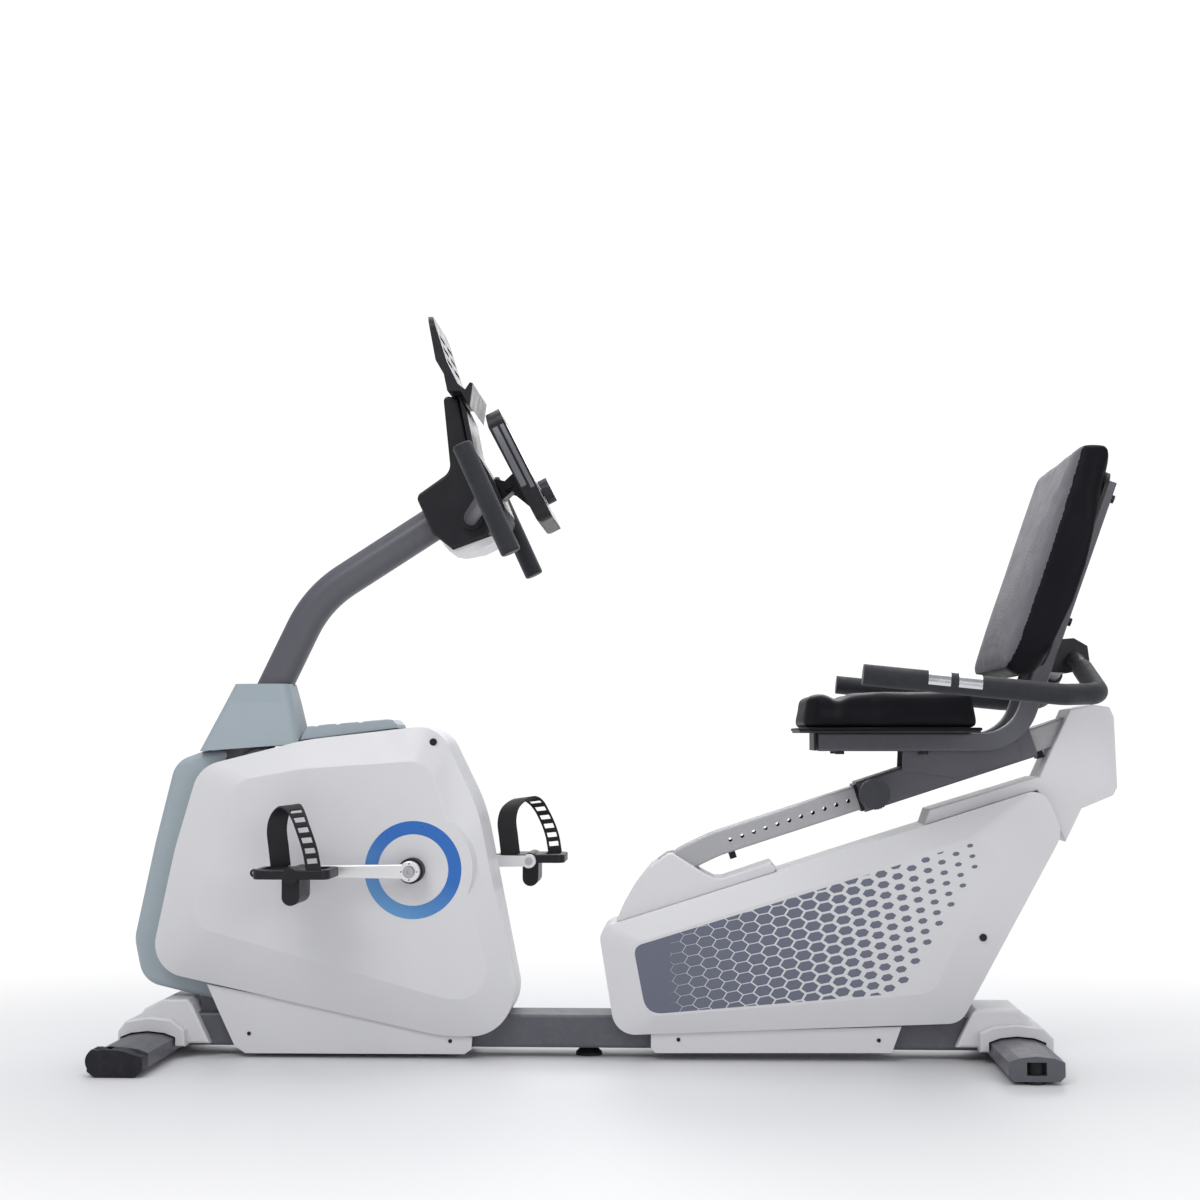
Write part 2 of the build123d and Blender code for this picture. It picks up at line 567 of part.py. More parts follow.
with BuildPart() as pedal_axles:
    for s in SIDES:
        axle_x = CRANK_X + s * CRANK_LENGTH
        y_low, y_high = sorted((s * CRANK_INNER_Y, s * (PEDAL_INNER_Y + PEDAL_WIDTH - 8)))
        rod(PEDAL_AXLE_RADIUS, axle_x, CRANK_Z, y_low, y_high)
        y_low, y_high = sorted((s * (CRANK_INNER_Y + CRANK_THICKNESS), s * (PEDAL_INNER_Y - 3)))
        rod(11, axle_x, CRANK_Z, y_low, y_high)
save(pedal_axles, "pedal_axles")

PEDAL_HALF_LENGTH = 61.0
PEDAL_BOTTOM_Z = CRANK_Z - 5
for s, side_name in ((-1, "left"), (1, "right")):
    axle_x = CRANK_X + s * CRANK_LENGTH
    y_in, y_out = s * PEDAL_INNER_Y, s * (PEDAL_INNER_Y + PEDAL_WIDTH)
    y_low, y_high = sorted((y_in, y_out))
    with BuildPart() as pedal:
        with BuildSketch(level(PEDAL_BOTTOM_Z)):
            with Locations((axle_x, (y_in + y_out) / 2)):
                RectangleRounded(2 * PEDAL_HALF_LENGTH, PEDAL_WIDTH, 14)
        extrude(amount=15)
        fillet(pedal.edges().filter_by(Axis.Z, reverse=True), radius=2.5)
        for x in (-38, 38):
            with BuildSketch(level(PEDAL_BOTTOM_Z - 1)):
                with Locations((axle_x + x, (y_in + y_out) / 2)):
                    RectangleRounded(26, PEDAL_WIDTH - 34, 6)
            extrude(amount=17, mode=Mode.SUBTRACT)
        rod(13, axle_x, CRANK_Z, y_low, y_high)
        rod(6.5, axle_x - PEDAL_HALF_LENGTH - 3, CRANK_Z + 3, y_low + 30, y_low + 36)
        rod(3.8, axle_x - PEDAL_HALF_LENGTH - 3, CRANK_Z + 3, y_low + 29, y_low + 37, mode=Mode.SUBTRACT)
        block((axle_x - 14, axle_x + 14), (y_low + 7, y_high - 7), (CRANK_Z - 32, CRANK_Z))
        rod(14, axle_x, CRANK_Z - 32, y_low + 7, y_high - 7)
        bore_low, bore_high = sorted((s * (PEDAL_INNER_Y - 6), s * (PEDAL_INNER_Y + PEDAL_WIDTH - 7.5)))
        rod(PEDAL_AXLE_RADIUS + FIT, axle_x, CRANK_Z, bore_low, bore_high, mode=Mode.SUBTRACT)
    save(pedal, side_name + "_pedal")
    with BuildPart() as strap:
        strap_plane = Plane(origin=(axle_x - 30, 0, CRANK_Z + 10), x_dir=(0, 1, 0), z_dir=(1, 0, -0.25))
        middle = (y_in + y_out) / 2
        with BuildSketch(strap_plane.offset(-2)):
            with Locations((middle, 38)):
                RectangleRounded(PEDAL_WIDTH, 120, 38)
                RectangleRounded(PEDAL_WIDTH - 6, 114, 35, mode=Mode.SUBTRACT)
        extrude(amount=44)
        block((axle_x - 200, axle_x + 200), (y_low - 10, y_high + 10), (CRANK_Z - 120, CRANK_Z + 10.1),
              mode=Mode.SUBTRACT)
        rod(13.1, axle_x, CRANK_Z, y_low - 1, y_high + 1, mode=Mode.SUBTRACT)
    save(strap, side_name + "_pedal_strap")

# ---- mast and console -----------------------------------------------------------
with BuildPart() as mast:
    with BuildLine() as mast_path:
        FilletPolyline(*[(x, 0, z) for x, z in MAST_POINTS], radius=MAST_BEND)
    with BuildSketch(mast_foot):
        Circle(MAST_RADIUS)
        Circle(MAST_RADIUS - 2.5, mode=Mode.SUBTRACT)
    sweep(path=mast_path.line)
save(mast, "mast")

SHELL_OUTLINE = [
    (-297, 1104), (-283, 974), (-342, 932), (-312, 868), (-280, 842), (-219, 864), (-207, 900), (-253, 1020),
    (-270, 1099),
]
SHELL_RADII = [8, 24, 12, 8, 14, 12, 20, 60, 6]
SHELL_HALF_WIDTH = 58.0
BAR_X, BAR_Z = -245.0, 892.0    # where the console handlebar passes through the shell
PANEL_HALF_WIDTH = 74.0
PANEL_OUTLINE = [
    (-268, 1101), (-254, 1073), (-241, 1010), (-204, 949), (-188, 909), (-192, 884), (-203, 880),
    (-205.5, 900), (-251.5, 1020),
]
with BuildPart() as console_shell:
    plate(SHELL_OUTLINE, -SHELL_HALF_WIDTH, SHELL_HALF_WIDTH, radius=SHELL_RADII)
    fillet(console_shell.faces().filter_by(Axis.Y).edges(), radius=5)
    plate(SHELL_OUTLINE, -SHELL_HALF_WIDTH + WALL, SHELL_HALF_WIDTH - WALL, radius=SHELL_RADII, grow=-WALL,
          mode=Mode.SUBTRACT)
    mast_top = Plane(origin=(MAST_POINTS[1][0], 0, MAST_POINTS[1][1]), x_dir=(0, 1, 0),
                     z_dir=(MAST_POINTS[2][0] - MAST_POINTS[1][0], 0, MAST_POINTS[2][1] - MAST_POINTS[1][1]))
    extrude(disc(mast_top, MAST_RADIUS + 0.2), amount=250, mode=Mode.SUBTRACT)
    for s in SIDES:
        low, high = sorted((s * (SHELL_HALF_WIDTH - 4), s * (SHELL_HALF_WIDTH + 14)))
        rod(19, BAR_X, BAR_Z, low, high)
    rod(BAR_RADIUS + 0.2, BAR_X, BAR_Z, -90, 90, mode=Mode.SUBTRACT)
save(console_shell, "console_shell")

with BuildPart() as console_lower_cover:
    plate([(-298, 855), (-284, 838.5), (-267, 836), (-235, 842), (-203, 857), (-214, 864.5), (-280, 840.8)],
          -50, 50)
save(console_lower_cover, "console_lower_cover")

with BuildPart() as tablet_holder:
    plate([(-319, 1234), (-311, 1234), (-285, 1153), (-266, 1115), (-254, 1106), (-246, 1118), (-241, 1116),
           (-246, 1078), (-262, 1104), (-284, 1104), (-290, 1132), (-304, 1156)], -96, 96)
    with BuildSketch(Plane(origin=(-330, 0, 1080), x_dir=(0, 1, 0), z_dir=(1, 0, 0))):
        with BuildLine():
            FilletPolyline((-96, -20), (96, -20), (96, 154), (-96, 154), radius=[1, 1, 22, 22], close=True)
        make_face()
    extrude(amount=100, mode=Mode.INTERSECT)
    with BuildSketch(Plane(origin=(-330, 0, 1180), x_dir=(0, 1, 0), z_dir=(1, 0, 0))):
        with GridLocations(88, 20, 2, 3):
            RectangleRounded(60, 8, 3.9)
    extrude(amount=80, mode=Mode.SUBTRACT)
save(tablet_holder, "tablet_holder")

GRIP_TOP, GRIP_LOW = (-245.0, 996.0), (-164.0, 820.0)
GRIP_Y = 200.0
GRIP_MID = (-206.4, 912.0)
with BuildPart() as console_handlebar:
    with BuildLine() as bar_path:
        FilletPolyline((GRIP_MID[0], -GRIP_Y, GRIP_MID[1]), (BAR_X, -80, BAR_Z), (BAR_X, 80, BAR_Z),
                       (GRIP_MID[0], GRIP_Y, GRIP_MID[1]), radius=60)
    with BuildSketch(Plane(origin=bar_path.line @ 0, z_dir=bar_path.line % 0)):
        Circle(BAR_RADIUS)
    sweep(path=bar_path.line)
    grip_dir = Vector(GRIP_LOW[0] - GRIP_TOP[0], 0, GRIP_LOW[1] - GRIP_TOP[1])
    for s in SIDES:
        grip_plane = Plane(origin=(GRIP_TOP[0], s * GRIP_Y, GRIP_TOP[1]), x_dir=(0, 1, 0), z_dir=grip_dir)
        extrude(disc(grip_plane.offset(3), BAR_RADIUS), amount=grip_dir.length - 6)
save(console_handlebar, "console_handlebar")

with BuildPart() as console_grips:
    for s in SIDES:
        grip_plane = Plane(origin=(GRIP_TOP[0], s * GRIP_Y, GRIP_TOP[1]), x_dir=(0, 1, 0), z_dir=grip_dir)
        extrude(disc(grip_plane, FOAM_RADIUS), amount=grip_dir.length)
    fillet(console_grips.edges().filter_by(GeomType.CIRCLE), radius=4)
    add(console_handlebar.part, mode=Mode.SUBTRACT)
save(console_grips, "console_grips")

DISPLAY_TOP, DISPLAY_LOW = (-199.0, 1075.0), (-107.0, 892.0)
slope_x, slope_z = DISPLAY_LOW[0] - DISPLAY_TOP[0], DISPLAY_LOW[1] - DISPLAY_TOP[1]
slope_length = (slope_x ** 2 + slope_z ** 2) ** 0.5
face_dir = (slope_x / slope_length, slope_z / slope_length)
face_normal = (-face_dir[1], face_dir[0])
TILT_X, TILT_Z = -186.0, 953.0
TILT_RADIUS = 5.0


def on_display(along, out, y=0.0):
    """Point of the display face: along it from the top edge, and out of it."""
    x = DISPLAY_TOP[0] + face_dir[0] * along + face_normal[0] * out
    z = DISPLAY_TOP[1] + face_dir[1] * along + face_normal[1] * out
    return (x, y, z)


def display_point(along, out):
    """The same point in sketch coordinates of a side plane."""
    x, y, z = on_display(along, out)
    return (x, z)


with BuildPart() as console_front_panel:
    plate(PANEL_OUTLINE, -PANEL_HALF_WIDTH, PANEL_HALF_WIDTH)
    fillet(console_front_panel.edges().filter_by(Axis.Y).group_by(Axis.Z)[0], radius=3)
    plate([(-222, 968), (TILT_X - 4, TILT_Z + 8), (TILT_X + 6, TILT_Z + 3), (TILT_X + 5, TILT_Z - 7),
           (-204, 925)], -20, 20)
    rod(TILT_RADIUS, TILT_X, TILT_Z, -34, 34)
save(console_front_panel, "console_front_panel")

DISPLAY_HALF_WIDTH = 106.0
GLASS_ALONG, GLASS_WIDTH, GLASS_HEIGHT, GLASS_DEPTH = 72.0, 186.0, 96.0, 2.2
DIAL_ALONG, DIAL_RADIUS, DIAL_SHAFT_RADIUS = 148.0, 22.0, 6.0
LUG_Y = (22.0, 30.0)


def display_plane(along, out=0.0):
    """Plane on the display face: sketch x is Y, y points to the top edge."""
    return Plane(origin=on_display(along, out), x_dir=(0, 1, 0), z_dir=(face_normal[0], 0, face_normal[1]))


with BuildPart() as display_housing:
    plate([display_point(0, 0), display_point(0, -24), display_point(26, -29), display_point(200, -26),
           display_point(slope_length, -18), display_point(slope_length, 0)],
          -DISPLAY_HALF_WIDTH, DISPLAY_HALF_WIDTH, radius=3)
    with BuildSketch(display_plane(slope_length / 2, -40)):
        RectangleRounded(2 * DISPLAY_HALF_WIDTH, slope_length, 26)
    extrude(amount=50, mode=Mode.INTERSECT)
    with BuildSketch(display_plane(GLASS_ALONG)):
        RectangleRounded(GLASS_WIDTH, GLASS_HEIGHT, 6)
    extrude(amount=-GLASS_DEPTH, mode=Mode.SUBTRACT)
    dial_at = display_plane(DIAL_ALONG)
    extrude(disc(dial_at, DIAL_SHAFT_RADIUS + FIT), amount=-14, mode=Mode.SUBTRACT)
    for s in SIDES:
        low, high = sorted((s * LUG_Y[0], s * LUG_Y[1]))
        plate([display_point(98, -27), display_point(165, -25), (TILT_X + 6, TILT_Z - 10),
               (TILT_X - 8, TILT_Z - 6), (TILT_X - 8, TILT_Z + 8)], low, high)
    rod(TILT_RADIUS + FIT, TILT_X, TILT_Z, -31, 31, mode=Mode.SUBTRACT)
save(display_housing, "display_housing")

with BuildPart() as display_glass:
    with BuildSketch(display_plane(GLASS_ALONG, -GLASS_DEPTH)):
        RectangleRounded(GLASS_WIDTH - GAP, GLASS_HEIGHT - GAP, 6)
    extrude(amount=GLASS_DEPTH - 0.2)
save(display_glass, "display_glass")

with BuildPart() as dial_knob:
    with BuildSketch(dial_at.offset(1.2)):
        Circle(DIAL_RADIUS)
        with PolarLocations(DIAL_RADIUS, 36):
            Circle(0.8, mode=Mode.SUBTRACT)
    extrude(amount=16)
    extrude(disc(dial_at.offset(-12), DIAL_SHAFT_RADIUS), amount=14)
save(dial_knob, "dial_knob")


# ---- rear shrouds, rail and posts -----------------------------------------------
RAIL_FRONT = [(FRONT_POST_X, RAIL_START_Z), (FRONT_POST_X, 268), (108, 324), (160, 348.9)]
RAIL_END_X = 762.0
RAIL_END_Z = RAIL_ORIGIN[2] + (RAIL_END_X - RAIL_ORIGIN[0]) * tan(radians(RAIL_ANGLE))
RAIL_ZONE = [(28, 60), (72, 60), (72, 256), (118, 300), (170, 326), (300, 370), (300, 424), (88, 352),
             (28, 277)]

for s, side_name in ((-1, "left"), (1, "right")):
    shroud = shell(s, REAR_OUTER, REAR_OUTER_RADII, REAR_PANEL, REAR_PANEL_RADII,
                   SHROUD_SIDE_Y, REAR_PANEL_Y)
    with shroud:
        plate(RAIL_ZONE, -RAIL_HALF_WIDTH - GAP, RAIL_HALF_WIDTH + GAP, mode=Mode.SUBTRACT)
        plate(REAR_POST, -25 - GAP, 25 + GAP, grow=GAP, mode=Mode.SUBTRACT)
        rod(CAP_RADIUS, *REAR_CAP, -100, 100, mode=Mode.SUBTRACT)
    save(shroud, "rear_" + side_name + "_shroud")

NOSE = [(-3, 224), (7, 248), (26, 281), (52, 314), (80, 334), (89, 336), (142, 303), (158, 295), (172, 295),
        (252, 322), (262, 310), (256, 303), (4, 222)]
with BuildPart() as rear_nose_cover:
    plate(NOSE, -46, 46)
    fillet(rear_nose_cover.faces().filter_by(Axis.Y).edges(), radius=4)
    plate([(4, 205), (34, 277), (62, 309), (84, 326), (132, 296), (140, 250)], -43, 43, mode=Mode.SUBTRACT)
    plate(RAIL_ZONE, -RAIL_HALF_WIDTH - GAP, RAIL_HALF_WIDTH + GAP, mode=Mode.SUBTRACT)
    plate(REAR_OUTER, -100, 100, radius=REAR_OUTER_RADII, grow=GAP, mode=Mode.SUBTRACT)
save(rear_nose_cover, "rear_nose_cover")

POST_COVER = [(746, 573), (783, 581), (811, 577), (818, 560), (821, 445), (814, 432), (762, 410), (735, 356),
              (690, 440), (527, 388), (503, 380), (513, 408), (686, 461), (694, 462)]
with BuildPart() as rear_post_cover:
    plate(POST_COVER, -46, 46)
    fillet(rear_post_cover.faces().filter_by(Axis.Y).edges(), radius=3)
    plate([(748, 566), (783, 577), (806, 572), (814, 558), (817, 447), (810, 436), (758, 414), (735, 380),
           (700, 452)], -43, 43, mode=Mode.SUBTRACT)
    plate(REAR_OUTER, -100, 100, radius=REAR_OUTER_RADII, grow=GAP, mode=Mode.SUBTRACT)
    with BuildSketch(rail_section(250)):
        Rectangle(2 * (RAIL_HALF_WIDTH + GAP), 2 * (RAIL_HALF_HEIGHT + GAP))
    extrude(amount=150, mode=Mode.SUBTRACT)
    plate(REAR_POST, -25 - GAP, 25 + GAP, grow=GAP, mode=Mode.SUBTRACT)
save(rear_post_cover, "rear_post_cover")

FRONT_SKIRT = [(-682, 119), (-660, 72), (-634, 19), (-616, 7), (-252, 8), (-241, 16), (-240, 35)]
REAR_SKIRT = [(54, 44), (54, 20), (61, 12), (446, 15), (462, 57)]
with BuildPart() as beam_skirts:
    for skirt in (FRONT_SKIRT, REAR_SKIRT):
        floor_low = min(point[1] for point in skirt)
        x_low = min(point[0] for point in skirt if point[1] < floor_low + 1.5) + 4
        x_high = max(point[0] for point in skirt if point[1] < floor_low + 4) - 4
        for s in SIDES:
            low, high = sorted((s * 53.0, s * 58.0))
            plate(skirt, low, high)
            low, high = sorted((s * (BEAM_HALF_WIDTH + 1), s * 54.0))
            block((x_low, x_high), (low, high), (floor_low + 3.5, floor_low + 7))
    plate(FRONT_OUTER, -100, 100, radius=FRONT_OUTER_RADII, grow=GAP, mode=Mode.SUBTRACT)
    plate(REAR_OUTER, -100, 100, radius=REAR_OUTER_RADII, grow=GAP, mode=Mode.SUBTRACT)
    plate(front_main, -60, 60, grow=GAP, mode=Mode.SUBTRACT)
save(beam_skirts, "beam_skirts")

with BuildPart() as seat_rail:
    with BuildLine() as rail_path:
        FilletPolyline(*[(x, 0, z) for x, z in RAIL_FRONT + [(RAIL_END_X, RAIL_END_Z)]],
                       radius=[30, 60, 200])
    with BuildSketch(Plane(origin=(FRONT_POST_X, 0, RAIL_FRONT[0][1]))):
        RectangleRounded(2 * RAIL_HALF_HEIGHT, 2 * RAIL_HALF_WIDTH, 4)
        RectangleRounded(2 * RAIL_HALF_HEIGHT - 6, 2 * RAIL_HALF_WIDTH - 6, 2, mode=Mode.SUBTRACT)
    sweep(path=rail_path.line)
    with BuildSketch(rail_plane(y=RAIL_HALF_WIDTH + 5)):
        for hole in range(HOLE_COUNT):
            with Locations((26 - HOLE_PITCH * hole, 0)):
                Circle(3.5)
    extrude(amount=2 * RAIL_HALF_WIDTH + 10, mode=Mode.SUBTRACT)
save(seat_rail, "seat_rail")

FRONT_STOP, REAR_STOP = -220.0, 307.0
STOP_LENGTH = 11.5
with BuildPart() as rail_stops:
    with BuildSketch(rail_plane(y=14)):
        for start in (FRONT_STOP - STOP_LENGTH, REAR_STOP):
            with Locations((start + STOP_LENGTH / 2, -RAIL_HALF_HEIGHT - 6)):
                Rectangle(STOP_LENGTH, 12)
    extrude(amount=28)
save(rail_stops, "rail_stops")

# ---- carriage -------------------------------------------------------------------
LINER_OUTER = (33.5, 23.0)
SLEEVE_START, SLEEVE_END = 6.0, 305.0
LOCK_ALONG = 26.0
KNOB_RADIUS = 25.0
BOSS_END_Y = -58.0
with BuildPart() as carriage_sleeve:
    with BuildSketch(rail_section(SLEEVE_START)):
        RectangleRounded(2 * SLEEVE_HALF_WIDTH, 2 * SLEEVE_HALF_HEIGHT, 5)
    extrude(amount=SLEEVE_END - SLEEVE_START)
    extrude(disc(rail_plane(LOCK_ALONG), 15), amount=-BOSS_END_Y)
    with BuildSketch(rail_section(SLEEVE_START - 1)):
        Rectangle(2 * LINER_OUTER[0], 2 * LINER_OUTER[1])
    extrude(amount=SLEEVE_END - SLEEVE_START + 2, mode=Mode.SUBTRACT)
    extrude(disc(rail_plane(LOCK_ALONG), 5 + FIT), amount=-BOSS_END_Y + 1, mode=Mode.SUBTRACT)
save(carriage_sleeve, "carriage_sleeve")

with BuildPart() as sleeve_liners:
    for start, length in ((0.0, 52.0), (SLEEVE_END - 52.0, 53.0)):
        with BuildSketch(rail_section(start)):
            Rectangle(2 * LINER_OUTER[0], 2 * LINER_OUTER[1])
            RectangleRounded(2 * (RAIL_HALF_WIDTH + FIT), 2 * (RAIL_HALF_HEIGHT + FIT), 4,
                             mode=Mode.SUBTRACT)
        extrude(amount=length)
    extrude(disc(rail_plane(LOCK_ALONG), 6), amount=-BOSS_END_Y + 1, mode=Mode.SUBTRACT)
save(sleeve_liners, "sleeve_liners")

with BuildPart() as lock_knob:
    knob_plane = rail_plane(LOCK_ALONG)
    extrude(disc(knob_plane.offset(RAIL_HALF_WIDTH + 4.5), 5), amount=34)
    extrude(disc(knob_plane.offset(RAIL_HALF_WIDTH + 0.4), 3.4), amount=8)
    with BuildSketch(knob_plane.offset(-BOSS_END_Y + 0.6)):
        Circle(KNOB_RADIUS)
        with PolarLocations(KNOB_RADIUS, 32):
            Circle(1.0, mode=Mode.SUBTRACT)
    extrude(amount=26)
save(lock_knob, "lock_knob")

SEAT_Z = 519.0
SEAT_FRONT_X = 331.0
SEAT_BEND_X = 656.0
BACK_LENGTH = 460.0
BACK_DIR = (cos(radians(BACK_ANGLE)), sin(radians(BACK_ANGLE)))
BACK_NORMAL = (BACK_DIR[1], -BACK_DIR[0])


def on_back(along, behind):
    """Point of the backrest tubes in X and Z: up their centre line, and behind it."""
    return (SEAT_BEND_X + BACK_DIR[0] * along + BACK_NORMAL[0] * behind,
            SEAT_Z + BACK_DIR[1] * along + BACK_NORMAL[1] * behind)


with BuildPart() as seat_frame:
    for s in SIDES:
        y = s * SEAT_TUBE_Y
        with BuildLine() as tube_path:
            top_x, top_z = on_back(BACK_LENGTH, 0)
            FilletPolyline((SEAT_FRONT_X, y, SEAT_Z), (SEAT_BEND_X, y, SEAT_Z), (top_x, y, top_z), radius=80)
        with BuildSketch(across(SEAT_FRONT_X)):
            with Locations((y, SEAT_Z)):
                RectangleRounded(SEAT_TUBE_WIDTH, SEAT_TUBE_DEPTH, 4)
                RectangleRounded(SEAT_TUBE_WIDTH - 4, SEAT_TUBE_DEPTH - 4, 2, mode=Mode.SUBTRACT)
        sweep(path=tube_path.line)
    inner = SEAT_TUBE_Y - SEAT_TUBE_WIDTH / 2
    block((SEAT_FRONT_X + 8, SEAT_FRONT_X + 38), (-inner, inner), (SEAT_Z - 12, SEAT_Z + 15))
    for along in (150, 400):
        plate([on_back(along, -15), on_back(along + 30, -15), on_back(along + 30, -11), on_back(along, -11)],
              -inner, inner)
    for s in SIDES:
        low, high = sorted((s * SLEEVE_HALF_WIDTH, s * inner))
        plate([(470, 472), (473, 528), (640, 528), (662, 516), (664, 492), (560, 460)], low, high)
save(seat_frame, "seat_frame")

PAD_PLAN = [(580, -178), (548, -200), (410, -200), (362, -160), (318, -152), (297, -116),
            (297, 116), (318, 152), (362, 160), (410, 200), (548, 200), (580, 178)]
PAD_PLAN_RADII = [14, 40, 50, 30, 20, 14, 14, 20, 30, 50, 40, 14]
PAN_Z, PAD_Z, PAD_TOP_Z = 534.0, 541.0, 597.0
BOARD_FRONT = -21.0
BACK_PROFILE = [
    (736, 991), (746, 1001), (788, 999), (795, 991), (783, 943), (748, 801), (728, 744), (701, 689),
    (664, 619), (616, 625), (611, 643), (622, 700), (643, 759), (679, 852), (725, 960),
]
BACK_SHAPE = [
    (-176, 90), (-200, 150), (-200, 340), (-180, 520), (180, 520), (200, 340), (200, 150), (176, 90),
]
BACK_SHAPE_RADII = [30, 60, 100, 36, 36, 100, 60, 30]
BACK_CROWN = (54.0, 74.0)       # height of the front face over the board: past its sides, in the middle
back_front = on_back(0, BOARD_FRONT)
back_plane = Plane(origin=(back_front[0], 0, back_front[1]), x_dir=(0, 1, 0),
                   z_dir=(-BACK_NORMAL[0], 0, -BACK_NORMAL[1]))
back_up = 1 if back_plane.y_dir.Z > 0 else -1

with BuildPart() as pad_boards:
    extrude(outline(level(PAN_Z), PAD_PLAN, PAD_PLAN_RADII), amount=PAD_Z - PAN_Z - 0.3)
    block((SEAT_FRONT_X - 7.5, SEAT_FRONT_X - 4), (-62, 62), (505, PAN_Z + 0.5))
    with BuildSketch(back_plane):
        with Locations((0, back_up * 290)):
            RectangleRounded(330, 330, 30)
    extrude(amount=-6)
save(pad_boards, "pad_boards")

with BuildPart() as seat_pad:
    extrude(outline(level(PAD_Z), PAD_PLAN, PAD_PLAN_RADII, grow=-5), amount=PAD_TOP_Z - PAD_Z)
    fillet(seat_pad.faces().sort_by(Axis.Z)[-1].edges(), radius=12)
save(seat_pad, "seat_pad")

with BuildPart() as backrest_pad:
    plate(BACK_PROFILE, -PAD_HALF_WIDTH, PAD_HALF_WIDTH)
    shape = outline(back_plane.offset(-60), [(y, back_up * h) for y, h in BACK_SHAPE], BACK_SHAPE_RADII)
    extrude(shape, amount=200, mode=Mode.INTERSECT)
    crown_low, crown_high = BACK_CROWN
    crown_half = PAD_HALF_WIDTH + 20
    with BuildSketch(Plane(origin=back_plane.origin, x_dir=(0, 1, 0), z_dir=(BACK_DIR[0], 0, BACK_DIR[1]))):
        with BuildLine():
            Polyline((-crown_half, crown_low), (-crown_half, -100), (crown_half, -100), (crown_half, crown_low))
            ThreePointArc((crown_half, crown_low), (0, crown_high), (-crown_half, crown_low))
        make_face()
    extrude(amount=600, mode=Mode.INTERSECT)
    with BuildSketch(back_plane.offset(0.3)):
        with Locations((0, back_up * 260)):
            Rectangle(340, 420)
    extrude(amount=-60, mode=Mode.SUBTRACT)
save(backrest_pad, "backrest_pad")

BAR_BACK_X, BAR_BACK_Z = 752.0, 655.0
arm = [(386, ARM_Y, 623), (690, ARM_Y, 592), (BAR_BACK_X, ARM_Y - 34, 594), (BAR_BACK_X, 70, BAR_BACK_Z)]
BAR_BENDS = [40, 30, 60]
with BuildPart() as seat_handlebar:
    with BuildLine() as bar_line:
        FilletPolyline(*([(x, -y, z) for x, y, z in arm] + arm[::-1]),
                       radius=BAR_BENDS + BAR_BENDS[::-1])
    with BuildSketch(Plane(origin=bar_line.line @ 0, z_dir=bar_line.line % 0)):
        Circle(BAR_RADIUS)
    sweep(path=bar_line.line)
save(seat_handlebar, "seat_handlebar")

with BuildPart() as seat_grips:
    for s in SIDES:
        with BuildLine() as foam_line:
            foam_end = (BAR_BACK_X, 120, 594 + (BAR_BACK_Z - 594) * (ARM_Y - 34 - 120) / (ARM_Y - 34 - 70))
            FilletPolyline(*[(x, s * y, z) for x, y, z in arm[:3] + [foam_end]], radius=BAR_BENDS[:2])
        with BuildSketch(Plane(origin=foam_line.line @ 0, z_dir=foam_line.line % 0)):
            Circle(FOAM_RADIUS)
            Circle(BAR_RADIUS, mode=Mode.SUBTRACT)
        sweep(path=foam_line.line)
save(seat_grips, "seat_grips")

arm_slope = (arm[1][2] - arm[0][2]) / (arm[1][0] - arm[0][0])
SENSOR_ANGLES = (-18, 26, 70, 114)      # from level on the outer side, up and over the grip
with BuildPart() as pulse_sensors:
    for s in SIDES:
        for x_low, x_high in ((484, 518), (530, 566)):
            z = arm[0][2] + (x_low - arm[0][0]) * arm_slope
            at = Plane(origin=(x_low, s * ARM_Y, z), x_dir=(0, 1, 0), z_dir=(1, 0, arm_slope))
            reach = FOAM_RADIUS + 10
            with BuildSketch(at):
                with BuildLine():
                    Polyline((0, 0), *[(s * reach * cos(radians(a)), reach * sin(radians(a)))
                                       for a in SENSOR_ANGLES], close=True)
                make_face()
                Circle(FOAM_RADIUS + 0.8, mode=Mode.INTERSECT)
                Circle(FOAM_RADIUS + 0.05, mode=Mode.SUBTRACT)
            extrude(amount=x_high - x_low)
save(pulse_sensors, "pulse_sensors")

with BuildPart() as handle_clamp:
    plate([on_back(128, 15.2), on_back(186, 15.2), (752, 690), (774, 677), (777, 652), (764, 637),
           (740, 632)], -58, 58)
    rod(BAR_RADIUS, BAR_BACK_X, BAR_BACK_Z, -70, 70, mode=Mode.SUBTRACT)
save(handle_clamp, "handle_clamp")

with BuildPart() as seat_bolts:
    for s in SIDES:
        for x in (366, 504):
            with BuildSketch(level(SEAT_Z - SEAT_TUBE_DEPTH / 2 - 5)):
                with Locations((x, s * SEAT_TUBE_Y)):
                    Circle(8)
            extrude(amount=5)
        for along in (217, 434):
            x, z = on_back(along, SEAT_TUBE_DEPTH / 2)
            head = Plane(origin=(x, s * SEAT_TUBE_Y, z), x_dir=(0, 1, 0),
                         z_dir=(BACK_NORMAL[0], 0, BACK_NORMAL[1]))
            extrude(disc(head, 7), amount=5)
save(seat_bolts, "seat_bolts")

SKIRT_SCREWS = [(-610, 39), (-276, 29), (99, 34), (425, 35)]
with BuildPart() as cover_screws:
    for s in SIDES:
        for x, z in SKIRT_SCREWS:
            low, high = sorted((s * 58.0, s * 59.2))
            rod(3.2, x, z, low, high)
        for x, z in (FRONT_CAP, REAR_CAP):
            low, high = sorted((s * 60.0, s * 74.0))
            rod(CAP_RADIUS, x, z, low, high)
save(cover_screws, "cover_screws")
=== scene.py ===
"""Looks of the recumbent exercise bike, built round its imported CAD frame. Metres."""
import json
import math

